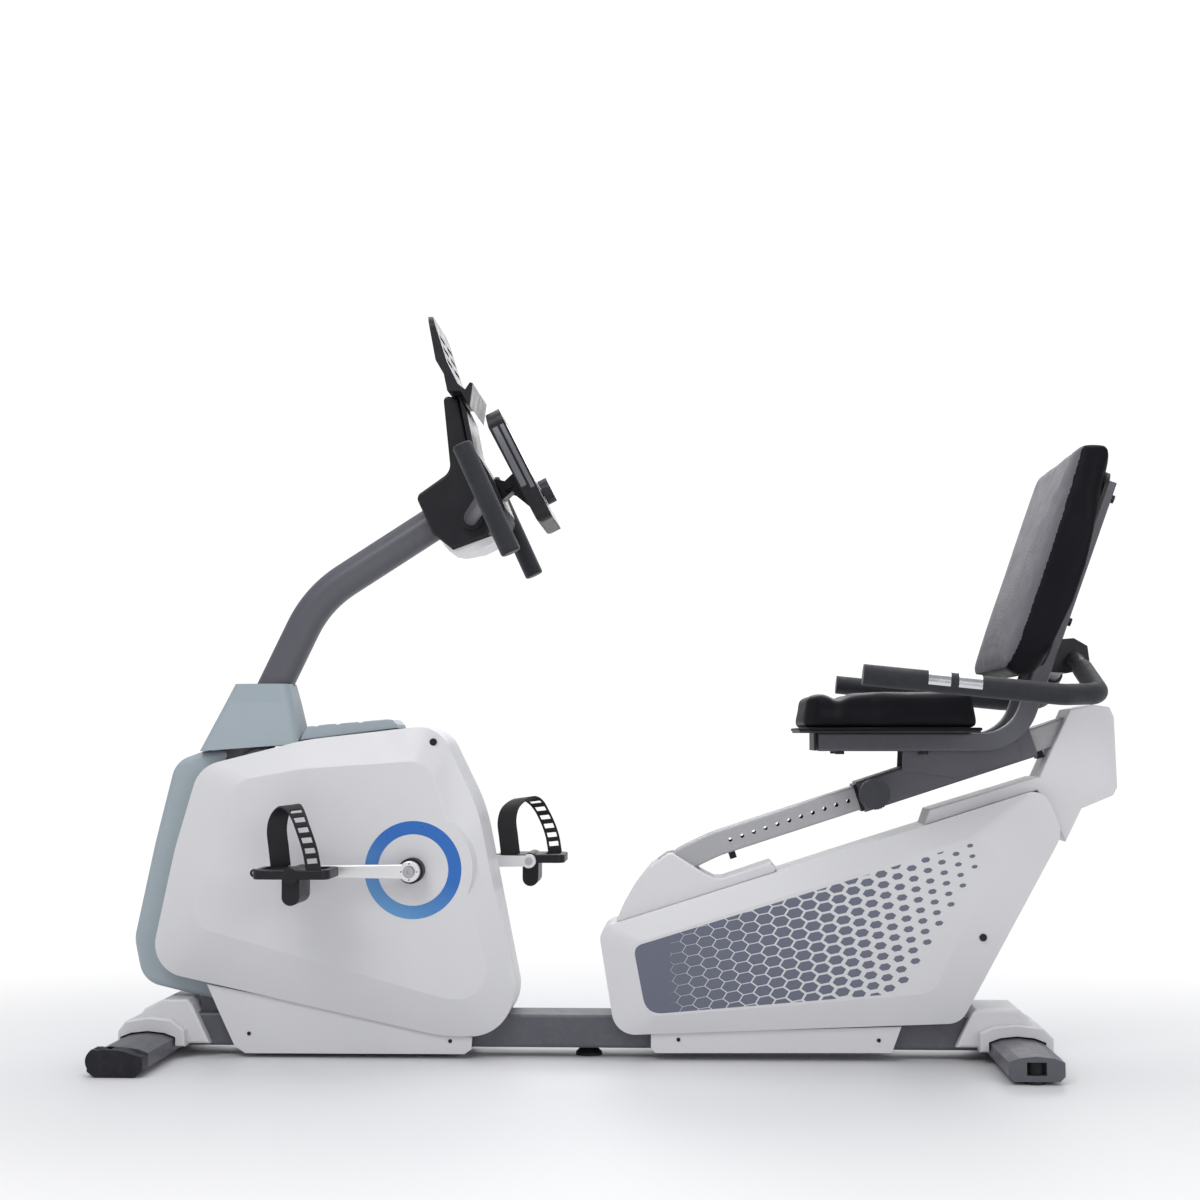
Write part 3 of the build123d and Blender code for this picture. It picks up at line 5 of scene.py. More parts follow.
import bmesh
import bpy
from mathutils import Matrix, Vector


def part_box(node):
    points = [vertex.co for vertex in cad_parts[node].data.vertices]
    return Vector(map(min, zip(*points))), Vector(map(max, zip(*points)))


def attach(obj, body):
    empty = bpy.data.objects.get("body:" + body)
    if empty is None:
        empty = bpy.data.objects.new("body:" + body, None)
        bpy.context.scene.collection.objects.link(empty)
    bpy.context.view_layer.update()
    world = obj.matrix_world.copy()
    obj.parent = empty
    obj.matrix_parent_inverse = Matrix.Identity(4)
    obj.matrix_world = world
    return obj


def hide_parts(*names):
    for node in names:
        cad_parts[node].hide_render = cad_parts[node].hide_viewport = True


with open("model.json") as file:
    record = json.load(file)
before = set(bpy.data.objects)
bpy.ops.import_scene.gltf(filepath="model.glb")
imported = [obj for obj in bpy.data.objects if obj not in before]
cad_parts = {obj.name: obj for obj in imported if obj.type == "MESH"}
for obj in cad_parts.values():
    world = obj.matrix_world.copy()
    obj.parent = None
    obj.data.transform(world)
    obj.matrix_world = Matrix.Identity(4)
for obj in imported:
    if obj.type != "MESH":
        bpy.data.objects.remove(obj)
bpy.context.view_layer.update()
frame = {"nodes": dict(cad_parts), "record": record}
nodes = frame["nodes"]
node_slot = {row["node"]: row["material_slot"] for row in frame["record"]["subparts"]}


# ---- camera, light and floor ----------------------------------------------------
FLOOR_Z = -0.0004                   # just under the feet


def link(obj):
    """Put an object into the scene."""
    bpy.context.scene.collection.objects.link(obj)
    return obj


def make_camera():
    """Side view, a little from the console end, looking slightly up."""
    data = bpy.data.cameras.new("camera")
    data.sensor_width = 36.0
    data.lens = 53.1
    data.shift_x = -0.0214
    data.clip_end = 30.0
    camera = link(bpy.data.objects.new("camera", data))
    camera.location = (0.136, -3.0, 0.529)
    camera.rotation_euler = (math.radians(90 + 4.394), 0.0, math.radians(2.4))
    bpy.context.scene.camera = camera


def area_light(name, place, target, size, power):
    """Soft box of this size and power in watts, aimed at a target."""
    data = bpy.data.lights.new(name, "AREA")
    data.shape = "RECTANGLE"
    data.size, data.size_y = size
    data.energy = power
    light = link(bpy.data.objects.new(name, data))
    light.location = place
    light.rotation_euler = (Vector(target) - Vector(place)).to_track_quat("-Z", "Y").to_euler()


def make_studio():
    """White sweep under and behind the machine, with soft boxes above and in front."""
    area_light("key_light", (-1.4, -2.8, 3.4), (0.0, 0.0, 0.5), (2.2, 1.6), 58)
    area_light("fill_light", (2.4, -3.4, 1.6), (0.2, 0.0, 0.4), (2.0, 1.6), 30)
    area_light("top_light", (0.1, 0.6, 3.8), (0.0, 0.1, 0.0), (4.6, 3.2), 105)
    area_light("back_light", (0.4, 3.4, 2.2), (0.0, 0.0, 0.5), (3.4, 1.6), 46)
    world = bpy.data.worlds.new("studio")
    bpy.context.scene.world = world
    world.use_nodes = True
    tree = world.node_tree
    room = tree.nodes["Background"]
    room.inputs["Color"].default_value = (0.93, 0.95, 1.0, 1.0)
    room.inputs["Strength"].default_value = 0.42
    backdrop = tree.nodes.new("ShaderNodeBackground")
    backdrop.inputs["Color"].default_value = (1.0, 1.0, 1.0, 1.0)
    backdrop.inputs["Strength"].default_value = 1.05
    rays = tree.nodes.new("ShaderNodeLightPath")
    pick = tree.nodes.new("ShaderNodeMixShader")
    tree.links.new(rays.outputs["Is Camera Ray"], pick.inputs["Fac"])
    tree.links.new(room.outputs["Background"], pick.inputs[1])
    tree.links.new(backdrop.outputs["Background"], pick.inputs[2])
    tree.links.new(pick.outputs["Shader"], tree.nodes["World Output"].inputs["Surface"])
    mesh = bpy.data.meshes.new("floor")
    half = 14.0
    corners = [(x, y, FLOOR_Z) for x, y in ((-half, -half), (half, -half), (half, half), (-half, half))]
    mesh.from_pydata(corners, [], [(0, 1, 2, 3)])
    floor = link(bpy.data.objects.new("floor", mesh))
    paint = bpy.data.materials.new("floor_paint")
    paint.use_nodes = True
    tree = paint.node_tree
    shader = tree.nodes["Principled BSDF"]
    shader.inputs["Base Color"].default_value = (0.71, 0.71, 0.72, 1.0)
    shader.inputs["Roughness"].default_value = 0.5
    glow = tree.nodes.new("ShaderNodeEmission")
    glow.inputs["Strength"].default_value = 1.02
    coords = tree.nodes.new("ShaderNodeTexCoord")
    stretch = tree.nodes.new("ShaderNodeMapping")
    stretch.inputs["Scale"].default_value = (0.8, 1.15, 1.0)
    reach = tree.nodes.new("ShaderNodeVectorMath")
    reach.operation = "LENGTH"
    fade = tree.nodes.new("ShaderNodeMapRange")
    fade.interpolation_type = "SMOOTHSTEP"
    fade.inputs["From Min"].default_value = 0.55
    fade.inputs["From Max"].default_value = 1.7
    blend = tree.nodes.new("ShaderNodeMixShader")
    tree.links.new(coords.outputs["Object"], stretch.inputs["Vector"])
    tree.links.new(stretch.outputs["Vector"], reach.inputs[0])
    tree.links.new(reach.outputs["Value"], fade.inputs["Value"])
    tree.links.new(fade.outputs["Result"], blend.inputs["Fac"])
    tree.links.new(shader.outputs["BSDF"], blend.inputs[1])
    tree.links.new(glow.outputs["Emission"], blend.inputs[2])
    tree.links.new(blend.outputs["Shader"], tree.nodes["Material Output"].inputs["Surface"])
    mesh.materials.append(paint)


make_camera()
make_studio()
bpy.context.scene.view_settings.view_transform = "Standard"


# ---- materials ------------------------------------------------------------------
class Nodes:
    """Small helper that adds and links the nodes of one material."""

    def __init__(self, name):
        self.material = bpy.data.materials.new(name)
        self.material.use_nodes = True
        self.tree = self.material.node_tree
        self.shader = self.tree.nodes["Principled BSDF"]
        self.coords = self.add("ShaderNodeTexCoord").outputs["Object"]

    def add(self, kind, **values):
        """New node, with its properties and inputs set by name."""
        node = self.tree.nodes.new(kind)
        for key, value in values.items():
            if hasattr(node, key):
                setattr(node, key, value)
            else:
                node.inputs[key.replace("_", " ")].default_value = value
        return node

    def join(self, out, into):
        """Link an output to an input."""
        self.tree.links.new(out, into)

    def noise(self, scale, detail=3.0, rough=0.5, stretch=None):
        """Noise value over the piece, stretched along its axes if asked."""
        vector = self.coords
        if stretch:
            mapping = self.add("ShaderNodeMapping")
            mapping.inputs["Scale"].default_value = stretch
            self.join(vector, mapping.inputs["Vector"])
            vector = mapping.outputs["Vector"]
        node = self.add("ShaderNodeTexNoise", Scale=scale, Detail=detail, Roughness=rough)
        self.join(vector, node.inputs["Vector"])
        return node.outputs["Fac"]

    def span(self, value, low, high, from_low=0.3, from_high=0.7):
        """Value mapped from one range to another."""
        node = self.add("ShaderNodeMapRange")
        node.inputs["From Min"].default_value = from_low
        node.inputs["From Max"].default_value = from_high
        node.inputs["To Min"].default_value = low
        node.inputs["To Max"].default_value = high
        self.join(value, node.inputs["Value"])
        return node.outputs["Result"]

    def mix(self, factor, first, second):
        """Blend of two colours, each a tuple or an output."""
        node = self.add("ShaderNodeMix", data_type="RGBA")
        for socket, colour in ((node.inputs[6], first), (node.inputs[7], second)):
            if isinstance(colour, tuple):
                socket.default_value = colour
            else:
                self.join(colour, socket)
        self.join(factor, node.inputs[0])
        return node.outputs[2]

    def bumps(self, layers):
        """Stack of (height, strength, distance) bump layers into the shader's normal."""
        normal = None
        for height, strength, distance in layers:
            bump = self.add("ShaderNodeBump", Strength=strength, Distance=distance)
            self.join(height, bump.inputs["Height"])
            if normal:
                self.join(normal, bump.inputs["Normal"])
            normal = bump.outputs["Normal"]
        self.join(normal, self.shader.inputs["Normal"])


def shade(colour, factor):
    """Linear colour made lighter or darker, with alpha 1."""
    return tuple(min(1.0, channel * factor) for channel in colour) + (1.0,)


def edge_wear(kit, amount):
    """Thin mask along convex edges, broken up by noise."""
    geometry = kit.add("ShaderNodeNewGeometry")
    edges = kit.span(geometry.outputs["Pointiness"], 0.0, 1.0, 0.53, 0.62)
    patches = kit.span(kit.noise(90.0, 4.0), 0.0, amount, 0.45, 0.75)
    product = kit.add("ShaderNodeMath", operation="MULTIPLY")
    kit.join(edges, product.inputs[0])
    kit.join(patches, product.inputs[1])
    return product.outputs["Value"]


def surface(name, colour, rough, metallic=0.0, grain=500.0, grain_depth=0.00012, grain_strength=0.3,
            blotch=0.05, rough_span=0.06, wear=0.0, wear_colour=None, coat=0.0, specular=0.5, stretch=None):
    """General moulded, painted or metal surface: grain, colour drift, uneven gloss and edge wear."""
    kit = Nodes(name)
    kit.shader.inputs["Metallic"].default_value = metallic
    kit.shader.inputs["Specular IOR Level"].default_value = specular
    kit.shader.inputs["Coat Weight"].default_value = coat
    kit.shader.inputs["Coat Roughness"].default_value = 0.12
    drift = kit.span(kit.noise(7.0, 4.0), 0.0, 1.0)
    tint = kit.mix(drift, shade(colour, 1.0 - blotch), shade(colour, 1.0 + blotch))
    if wear:
        tint = kit.mix(edge_wear(kit, wear), tint, shade(wear_colour or colour, 1.0))
    kit.join(tint, kit.shader.inputs["Base Color"])
    fine = kit.noise(grain, 2.0, 0.5, stretch)
    uneven = kit.span(kit.noise(35.0, 5.0, 0.6), rough - rough_span, rough + rough_span)
    kit.join(uneven, kit.shader.inputs["Roughness"])
    kit.bumps([(fine, grain_strength, grain_depth)])
    return kit.material


def vinyl(name, colour, rough):
    """Upholstery vinyl: small closed pores, soft wrinkles and a faint oily sheen."""
    kit = Nodes(name)
    kit.shader.inputs["Specular IOR Level"].default_value = 0.06
    pores = kit.add("ShaderNodeTexVoronoi", Scale=650.0)
    kit.join(kit.coords, pores.inputs["Vector"])
    cell = pores.outputs["Distance"]
    wrinkles = kit.noise(60.0, 6.0, 0.62)
    drift = kit.span(kit.noise(9.0, 4.0), 0.0, 1.0)
    kit.join(kit.mix(drift, shade(colour, 0.88), shade(colour, 1.15)), kit.shader.inputs["Base Color"])
    kit.join(kit.span(wrinkles, rough - 0.07, rough + 0.08), kit.shader.inputs["Roughness"])
    kit.bumps([(wrinkles, 0.1, 0.0008), (cell, 0.4, 0.00018)])
    return kit.material


def mesh_fabric(name, colour):
    """Fine knitted face fabric of the backrest, with tiny round holes."""
    kit = Nodes(name)
    kit.shader.inputs["Sheen Weight"].default_value = 0.05
    kit.shader.inputs["Sheen Roughness"].default_value = 0.5
    kit.shader.inputs["Specular IOR Level"].default_value = 0.14
    knit = kit.add("ShaderNodeTexVoronoi", Scale=420.0, Randomness=0.25)
    kit.join(kit.coords, knit.inputs["Vector"])
    holes = kit.span(knit.outputs["Distance"], 0.0, 1.0, 0.12, 0.42)
    drift = kit.span(kit.noise(11.0, 4.0), 0.0, 1.0)
    base = kit.mix(drift, shade(colour, 0.92), shade(colour, 1.1))
    kit.join(kit.mix(holes, shade(colour, 0.55), base), kit.shader.inputs["Base Color"])
    kit.join(kit.span(kit.noise(50.0, 4.0), 0.52, 0.68), kit.shader.inputs["Roughness"])
    kit.bumps([(kit.noise(45.0, 5.0), 0.15, 0.001), (holes, 0.6, 0.0004)])
    return kit.material


def foam(name, colour):
    """Closed-cell foam grip: fine dull skin with small dimples."""
    kit = Nodes(name)
    kit.shader.inputs["Sheen Weight"].default_value = 0.15
    kit.shader.inputs["Specular IOR Level"].default_value = 0.35
    cells = kit.add("ShaderNodeTexVoronoi", Scale=1100.0)
    kit.join(kit.coords, cells.inputs["Vector"])
    drift = kit.span(kit.noise(25.0, 5.0), 0.0, 1.0)
    kit.join(kit.mix(drift, shade(colour, 0.85), shade(colour, 1.18)), kit.shader.inputs["Base Color"])
    kit.join(kit.span(kit.noise(70.0, 3.0), 0.5, 0.68), kit.shader.inputs["Roughness"])
    kit.bumps([(cells.outputs["Distance"], 0.45, 0.00025), (kit.noise(300.0), 0.2, 0.0003)])
    return kit.material


def gradient(name, low_colour, high_colour, low, high, direction, rough):
    """Printed colour that drifts between two tones along a direction, in metres."""
    kit = Nodes(name)
    kit.shader.inputs["Coat Weight"].default_value = 0.3
    kit.shader.inputs["Coat Roughness"].default_value = 0.15
    dot = kit.add("ShaderNodeVectorMath", operation="DOT_PRODUCT")
    dot.inputs[1].default_value = direction
    kit.join(kit.coords, dot.inputs[0])
    along = kit.span(dot.outputs["Value"], 0.0, 1.0, low, high)
    kit.join(kit.mix(along, low_colour + (1.0,), high_colour + (1.0,)), kit.shader.inputs["Base Color"])
    kit.join(kit.span(kit.noise(60.0, 4.0), rough - 0.04, rough + 0.05), kit.shader.inputs["Roughness"])
    kit.bumps([(kit.noise(900.0), 0.15, 0.00008)])
    return kit.material


MATERIALS = {
    "frame_dark": surface("frame_dark", (0.092, 0.092, 0.110), 0.42, grain=900.0, grain_depth=0.00018,
                          wear=0.25, wear_colour=(0.16, 0.16, 0.18), coat=0.12, specular=0.4),
    "rail_white": surface("rail_white", (0.36, 0.36, 0.375), 0.38, grain=800.0, wear=0.2,
                          wear_colour=(0.55, 0.55, 0.56), coat=0.2, blotch=0.02),
    "shroud_white": surface("shroud_white", (0.655, 0.652, 0.672), 0.38, grain=1100.0, grain_depth=0.00006,
                            grain_strength=0.2, blotch=0.015, coat=0.08, wear=0.12,
                            wear_colour=(0.72, 0.72, 0.74)),
    "band_grey": surface("band_grey", (0.325, 0.380, 0.415), 0.4, grain=1000.0, grain_depth=0.00008,
                         blotch=0.03, wear=0.2, wear_colour=(0.45, 0.5, 0.52)),
    "black_plastic": surface("black_plastic", (0.0090, 0.0090, 0.0125), 0.4, grain=1300.0, grain_depth=0.0002,
                             wear=0.25, wear_colour=(0.05, 0.05, 0.06), specular=0.32),
    "knob_plastic": surface("knob_plastic", (0.036, 0.037, 0.045), 0.38, grain=1200.0, wear=0.3,
                            wear_colour=(0.08, 0.08, 0.09), specular=0.35),
    "rubber_black": surface("rubber_black", (0.012, 0.012, 0.014), 0.55, grain=1500.0, grain_depth=0.0003,
                            grain_strength=0.4, wear=0.25, wear_colour=(0.04, 0.04, 0.04), specular=0.3),
    "foam_grip": foam("foam_grip", (0.013, 0.014, 0.019)),
    "vinyl": vinyl("vinyl", (0.0085, 0.0085, 0.0110), 0.44),
    "board": surface("board", (0.012, 0.012, 0.014), 0.42, grain=1300.0, grain_depth=0.0002, specular=0.35),
    "alloy": surface("alloy", (0.80, 0.79, 0.80), 0.33, metallic=0.55, grain=500.0, stretch=(0.05, 1, 1),
                     grain_depth=0.00003, grain_strength=0.15, blotch=0.02, rough_span=0.04),
    "steel": surface("steel", (0.5, 0.5, 0.52), 0.32, metallic=1.0, grain=700.0, stretch=(1, 0.05, 1)),
    "cast": surface("cast", (0.16, 0.16, 0.17), 0.5, metallic=0.9, grain=400.0, grain_depth=0.0003),
    "chrome": surface("chrome", (0.60, 0.61, 0.63), 0.26, metallic=1.0, grain=900.0, stretch=(1, 0.1, 0.1),
                      grain_depth=0.00004),
    "screen": surface("screen", (0.006, 0.006, 0.008), 0.12, grain=600.0, grain_depth=0.00002, coat=0.5,
                      rough_span=0.03),
    "screw_black": surface("screw_black", (0.015, 0.015, 0.016), 0.35, metallic=0.5, grain=900.0),
}
BACK_FABRIC = mesh_fabric("back_fabric", (0.125, 0.125, 0.142))
RING_BLUE = gradient("ring_blue", (0.10, 0.29, 0.56), (0.006, 0.125, 0.47), -0.01, 0.09,
                     (0.55, 0.0, 0.83), 0.3)
HEX_PRINT = gradient("hex_print", (0.112, 0.122, 0.170), (0.125, 0.135, 0.185), 0.0, 0.6,
                     (1.0, 0.0, 0.0), 0.38)
PANEL_GREY = surface("panel_grey", (0.130, 0.132, 0.152), 0.36, grain=1000.0, grain_depth=0.0001)

for name, obj in nodes.items():
    obj.data.materials.clear()
    obj.data.materials.append(MATERIALS[node_slot[name]])


# ---- mesh helpers ---------------------------------------------------------------
def new_piece(name, mesh, body, slot, material=None):
    """Object that rides on a body and takes its finish from a record slot."""
    piece = link(bpy.data.objects.new(name, mesh))
    piece.data.materials.append(material or MATERIALS[slot])
    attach(piece, body)
    return piece


def smooth(mesh, angle):
    """Smooth shading, with edges sharper than the angle in degrees kept sharp."""
    for polygon in mesh.polygons:
        polygon.use_smooth = True
    mesh.set_sharp_from_angle(angle=math.radians(angle))


def apply_modifiers(piece):
    """Replace the piece's mesh by its evaluated mesh, with no modifier left."""
    graph = bpy.context.evaluated_depsgraph_get()
    mesh = bpy.data.meshes.new_from_object(piece.evaluated_get(graph))
    piece.modifiers.clear()
    piece.data = mesh


def tube_mesh(name, points, radius, closed=False, segments=12):
    """Round tube along the points, with its own end caps."""
    build = bmesh.new()
    count = len(points)
    rings = []
    for i, point in enumerate(points):
        before = points[i - 1] if i or closed else point
        after = points[(i + 1) % count] if i < count - 1 or closed else point
        along = (Vector(after) - Vector(before)).normalized()
        side = along.cross(Vector((0, 0, 1)))
        if side.length < 0.1:
            side = along.cross(Vector((0, 1, 0)))
        side.normalize()
        up = side.cross(along)
        ring = []
        for k in range(segments):
            angle = 2 * math.pi * k / segments
            spoke = math.cos(angle) * side + math.sin(angle) * up
            ring.append(build.verts.new(Vector(point) + radius * spoke))
        rings.append(ring)
    spans = count if closed else count - 1
    for i in range(spans):
        first, second = rings[i], rings[(i + 1) % count]
        for k in range(segments):
            build.faces.new((first[k], first[(k + 1) % segments], second[(k + 1) % segments], second[k]))
    if not closed:
        build.faces.new(rings[0][::-1])
        build.faces.new(rings[-1])
    bmesh.ops.recalc_face_normals(build, faces=build.faces)
    mesh = bpy.data.meshes.new(name)
    build.to_mesh(mesh)
    build.free()
    smooth(mesh, 50)
    return mesh


def prism_mesh(name, rings, y_low, y_high):
    """Flat shapes in X and Z given as closed point rings, extruded between two Y values."""
    build = bmesh.new()
    for ring in rings:
        low = [build.verts.new((x, y_low, z)) for x, z in ring]
        high = [build.verts.new((x, y_high, z)) for x, z in ring]
        build.faces.new(low)
        build.faces.new(high[::-1])
        for i in range(len(ring)):
            j = (i + 1) % len(ring)
            build.faces.new((low[i], high[i], high[j], low[j]))
    bmesh.ops.recalc_face_normals(build, faces=build.faces)
    mesh = bpy.data.meshes.new(name)
    build.to_mesh(mesh)
    build.free()
    return mesh


# ---- padded pieces --------------------------------------------------------------
CLOTH_FRAMES = 20


def inflate(node, name, shrink, cap, axis_down, voxel=0.005):
    """Copy of a CAD pad, remeshed and blown up by cloth pressure, its back held flat."""
    source = nodes[node]
    piece = link(bpy.data.objects.new(name, source.data.copy()))
    low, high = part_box(node)
    middle = (low + high) / 2
    for vertex in piece.data.vertices:
        vertex.co = middle + (vertex.co - middle) * shrink
    remesh = piece.modifiers.new("remesh", "REMESH")
    remesh.mode = "VOXEL"
    remesh.voxel_size = voxel
    apply_modifiers(piece)
    start = [vertex.co.copy() for vertex in piece.data.vertices]
    lowest = min(co.dot(axis_down * -1) for co in start)
    group = piece.vertex_groups.new(name="held")
    held = [i for i, co in enumerate(start) if co.dot(axis_down * -1) < lowest + 1.6 * voxel]
    group.add(held, 1.0, "REPLACE")
    cloth = piece.modifiers.new("cloth", "CLOTH")
    cloth.settings.use_pressure = True
    cloth.settings.uniform_pressure_force = 4.0
    cloth.settings.vertex_group_mass = "held"
    cloth.settings.tension_stiffness = 18
    cloth.settings.compression_stiffness = 18
    cloth.settings.effector_weights.gravity = 0.0
    cloth.point_cache.frame_start, cloth.point_cache.frame_end = 1, CLOTH_FRAMES
    for step in range(1, CLOTH_FRAMES + 1):
        bpy.context.scene.frame_set(step)
    apply_modifiers(piece)
    bpy.context.scene.frame_set(1)
    for vertex, origin in zip(piece.data.vertices, start):
        move = vertex.co - origin
        if move.length > cap:
            vertex.co = origin + move * (cap / move.length)
    relax = piece.modifiers.new("relax", "SMOOTH")
    relax.iterations = 26
    refine = piece.modifiers.new("refine", "SUBSURF")
    refine.levels = 1
    refine.render_levels = 1
    apply_modifiers(piece)
    return piece


def rounded_ring(corners, radii, steps=8):
    """Closed outline through rounded corners, as a list of 2D points."""
    ring = []
    count = len(corners)
    for i, radius in enumerate(radii):
        here = Vector(corners[i])
        to_before = (Vector(corners[i - 1]) - here).normalized()
        to_after = (Vector(corners[(i + 1) % count]) - here).normalized()
        half = to_before.angle(to_after) / 2
        reach = radius / math.tan(half)
        start, end = here + to_before * reach, here + to_after * reach
        for k in range(steps + 1):
            t = k / steps
            pull = here * 0.92 + (start + end) * 0.04
            ring.append(tuple((1 - t) ** 2 * start + 2 * t * (1 - t) * pull + t * t * end))
    return ring


PAD_PLAN = [(0.58, -0.178), (0.548, -0.2), (0.41, -0.2), (0.362, -0.16), (0.318, -0.152), (0.297, -0.116)]
PAD_PLAN += [(x, -y) for x, y in reversed(PAD_PLAN)]
PAD_RADII = [0.014, 0.04, 0.05, 0.03, 0.02, 0.014]
PAD_RADII += PAD_RADII[::-1]


def make_seat_pad():
    """Seat cushion with a front lobe, a cross valley and a welted base."""
    low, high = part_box("seat_pad")
    piece = inflate("seat_pad", "seat_cushion", 0.99, 0.003, Vector((0, 0, -1)))
    valley_x, valley_width, saddle_x = 0.357, 0.016, 0.47
    middle_x = (low.x + high.x) / 2
    for vertex in piece.data.vertices:
        co = vertex.co
        lift = max(0.0, min(1.0, (co.z - low.z) / (high.z - low.z)))
        dip = math.exp(-((co.x - valley_x) / valley_width) ** 2)
        saddle = 0.006 * math.exp(-((co.x - saddle_x) / 0.09) ** 2) * math.exp(-(co.y / 0.09) ** 2)
        co.z -= lift * lift * (0.010 * dip + saddle)
        pull = 1.0 - 0.016 * dip * lift
        co.y *= pull
        spread = 1.0 + 0.022 * max(0.0, 1.0 - lift / 0.6)
        co.x = middle_x + (co.x - middle_x) * spread
        co.y *= spread
        co.z = min(co.z, high.z + 0.003)
    smooth(piece.data, 60)
    piece.data.materials.clear()
    piece.data.materials.append(MATERIALS["vinyl"])
    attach(piece, "carriage")
    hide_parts("seat_pad")
    base = [(x, y, low.z - 0.0012) for x, y in rounded_ring(PAD_PLAN, PAD_RADII)]
    new_piece("seat_welt", tube_mesh("seat_welt", base, 0.0026, closed=True), "carriage", "vinyl")


BACK_UP = Vector((math.cos(math.radians(70)), 0.0, math.sin(math.radians(70))))
BACK_OUT = Vector((-BACK_UP.z, 0.0, BACK_UP.x))
BACK_FOOT = Vector((0.656, 0.0, 0.519))


def make_backrest():
    """Backrest cushion: grey knitted face, black vinyl border, lumbar bulge."""
    low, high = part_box("backrest_pad")
    piece = inflate("backrest_pad", "backrest_cushion", 0.985, 0.004, BACK_OUT * -1)
    for vertex in piece.data.vertices:
        local = vertex.co - BACK_FOOT
        up, out = local.dot(BACK_UP), local.dot(BACK_OUT)
        if out > 0.03:
            vertex.co -= BACK_OUT * (out - 0.03) * (0.20 - 0.10 * min(1.0, max(0.0, up) / 0.4))
        if out > 0.05:
            bulge = 0.004 * math.exp(-((up - 0.2) / 0.06) ** 2) * math.exp(-(vertex.co.y / 0.12) ** 2)
            vertex.co += BACK_OUT * bulge
        vertex.co.x = max(vertex.co.x, low.x - 0.004)
    mesh = piece.data
    mesh.materials.clear()
    mesh.materials.append(MATERIALS["vinyl"])
    mesh.materials.append(BACK_FABRIC)
    for polygon in mesh.polygons:
        polygon.material_index = 1 if polygon.normal.dot(BACK_OUT) > 0.72 else 0
    smooth(mesh, 60)
    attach(piece, "carriage")
    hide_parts("backrest_pad")


make_seat_pad()
make_backrest()


# ---- printed graphics -----------------------------------------------------------
CRANK_X, CRANK_Z = -0.335, 0.310


def make_ring():
    """Blue ring printed round each crank bearing."""
    inner, outer = 0.058, 0.080
    steps = 96
    for sign, side_name in ((-1, "left"), (1, "right")):
        face = abs(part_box(side_name + "_shroud")[0 if sign < 0 else 1].y)
        y = sign * (face + 0.0003)
        build = bmesh.new()
        rings = []
        sunk = sign * -0.0004
        for radius, depth in ((inner, sunk), (inner + 0.0006, 0.0), (outer - 0.0006, 0.0), (outer, sunk)):
            ring = []
            for k in range(steps):
                angle = 2 * math.pi * k / steps
                ring.append(build.verts.new((CRANK_X + radius * math.cos(angle), y + depth,
                                             CRANK_Z + radius * math.sin(angle))))
            rings.append(ring)
        for a, b in zip(rings, rings[1:]):
            for k in range(steps):
                j = (k + 1) % steps
                build.faces.new((a[k], a[j], b[j], b[k]))
        bmesh.ops.recalc_face_normals(build, faces=build.faces)
        mesh = bpy.data.meshes.new("ring")
        build.to_mesh(mesh)
        build.free()
        if mesh.polygons[0].normal.y * sign < 0:
            mesh.flip_normals()
        smooth(mesh, 30)
        new_piece("crank_ring_" + side_name, mesh, "root", "band_grey", RING_BLUE)


def clip(ring, field):
    """Part of a convex ring inside a convex counter-clockwise field (Sutherland-Hodgman)."""
    result = ring
    for i in range(len(field)):
        a, b = field[i - 1], field[i]
        kept = []
        for j in range(len(result)):
            p, q = result[j - 1], result[j]
            side_p = (b[0] - a[0]) * (p[1] - a[1]) - (b[1] - a[1]) * (p[0] - a[0])
            side_q = (b[0] - a[0]) * (q[1] - a[1]) - (b[1] - a[1]) * (q[0] - a[0])
            if (side_p >= 0) != (side_q >= 0):
                t = side_p / (side_p - side_q)
                kept.append((p[0] + (q[0] - p[0]) * t, p[1] + (q[1] - p[1]) * t))
            if side_q >= 0:
                kept.append(q)
        result = kept
        if len(result) < 3:
            return []
    return result


def tidy_ring(ring):
    """Ring without points closer than a tenth of a millimetre."""
    kept = []
    for point in ring:
        if not kept or math.dist(point, kept[-1]) > 1e-4:
            kept.append(point)
    if len(kept) > 1 and math.dist(kept[0], kept[-1]) < 1e-4:
        kept.pop()
    return kept if len(kept) > 2 else []


FIELD = [(0.026, 0.186), (0.583, 0.358), (0.616, 0.332), (0.510, 0.118), (0.047, 0.077)]
FIELD_RADII = [0.016, 0.03, 0.02, 0.035, 0.028]
COLUMN, ROW, TILT = 0.0251, 0.0173, math.radians(11.3)
FILLS = [(0.085, 0.985), (0.11, 0.955), (0.2, 0.92), (0.3, 0.86), (0.38, 0.74), (0.45, 0.58), (0.52, 0.43),
         (0.6, 0.28)]               # X along the panel, share of its cell that a hexagon fills
COMB_X, COMB_Z = 0.099, 0.168       # first cell
COMB_FRONT, COMB_BACK, COMB_SLANT = 0.07, 0.590, 0.62
SOLID_EDGE = 0.0865                 # the field is one solid print up to here
SOLID_ZONE = [(-1, -1), (SOLID_EDGE, -1), (SOLID_EDGE, 1), (-1, 1)]
BEHIND_SOLID = [(SOLID_EDGE, -1), (1, -1), (1, 1), (SOLID_EDGE, 1)]


def fill_at(x):
    """How much of its cell a hexagon fills at this X."""
    for (x0, f0), (x1, f1) in zip(FILLS, FILLS[1:]):
        if x < x1:
            return f0 + (f1 - f0) * max(0.0, (x - x0) / (x1 - x0))
    return FILLS[-1][1]


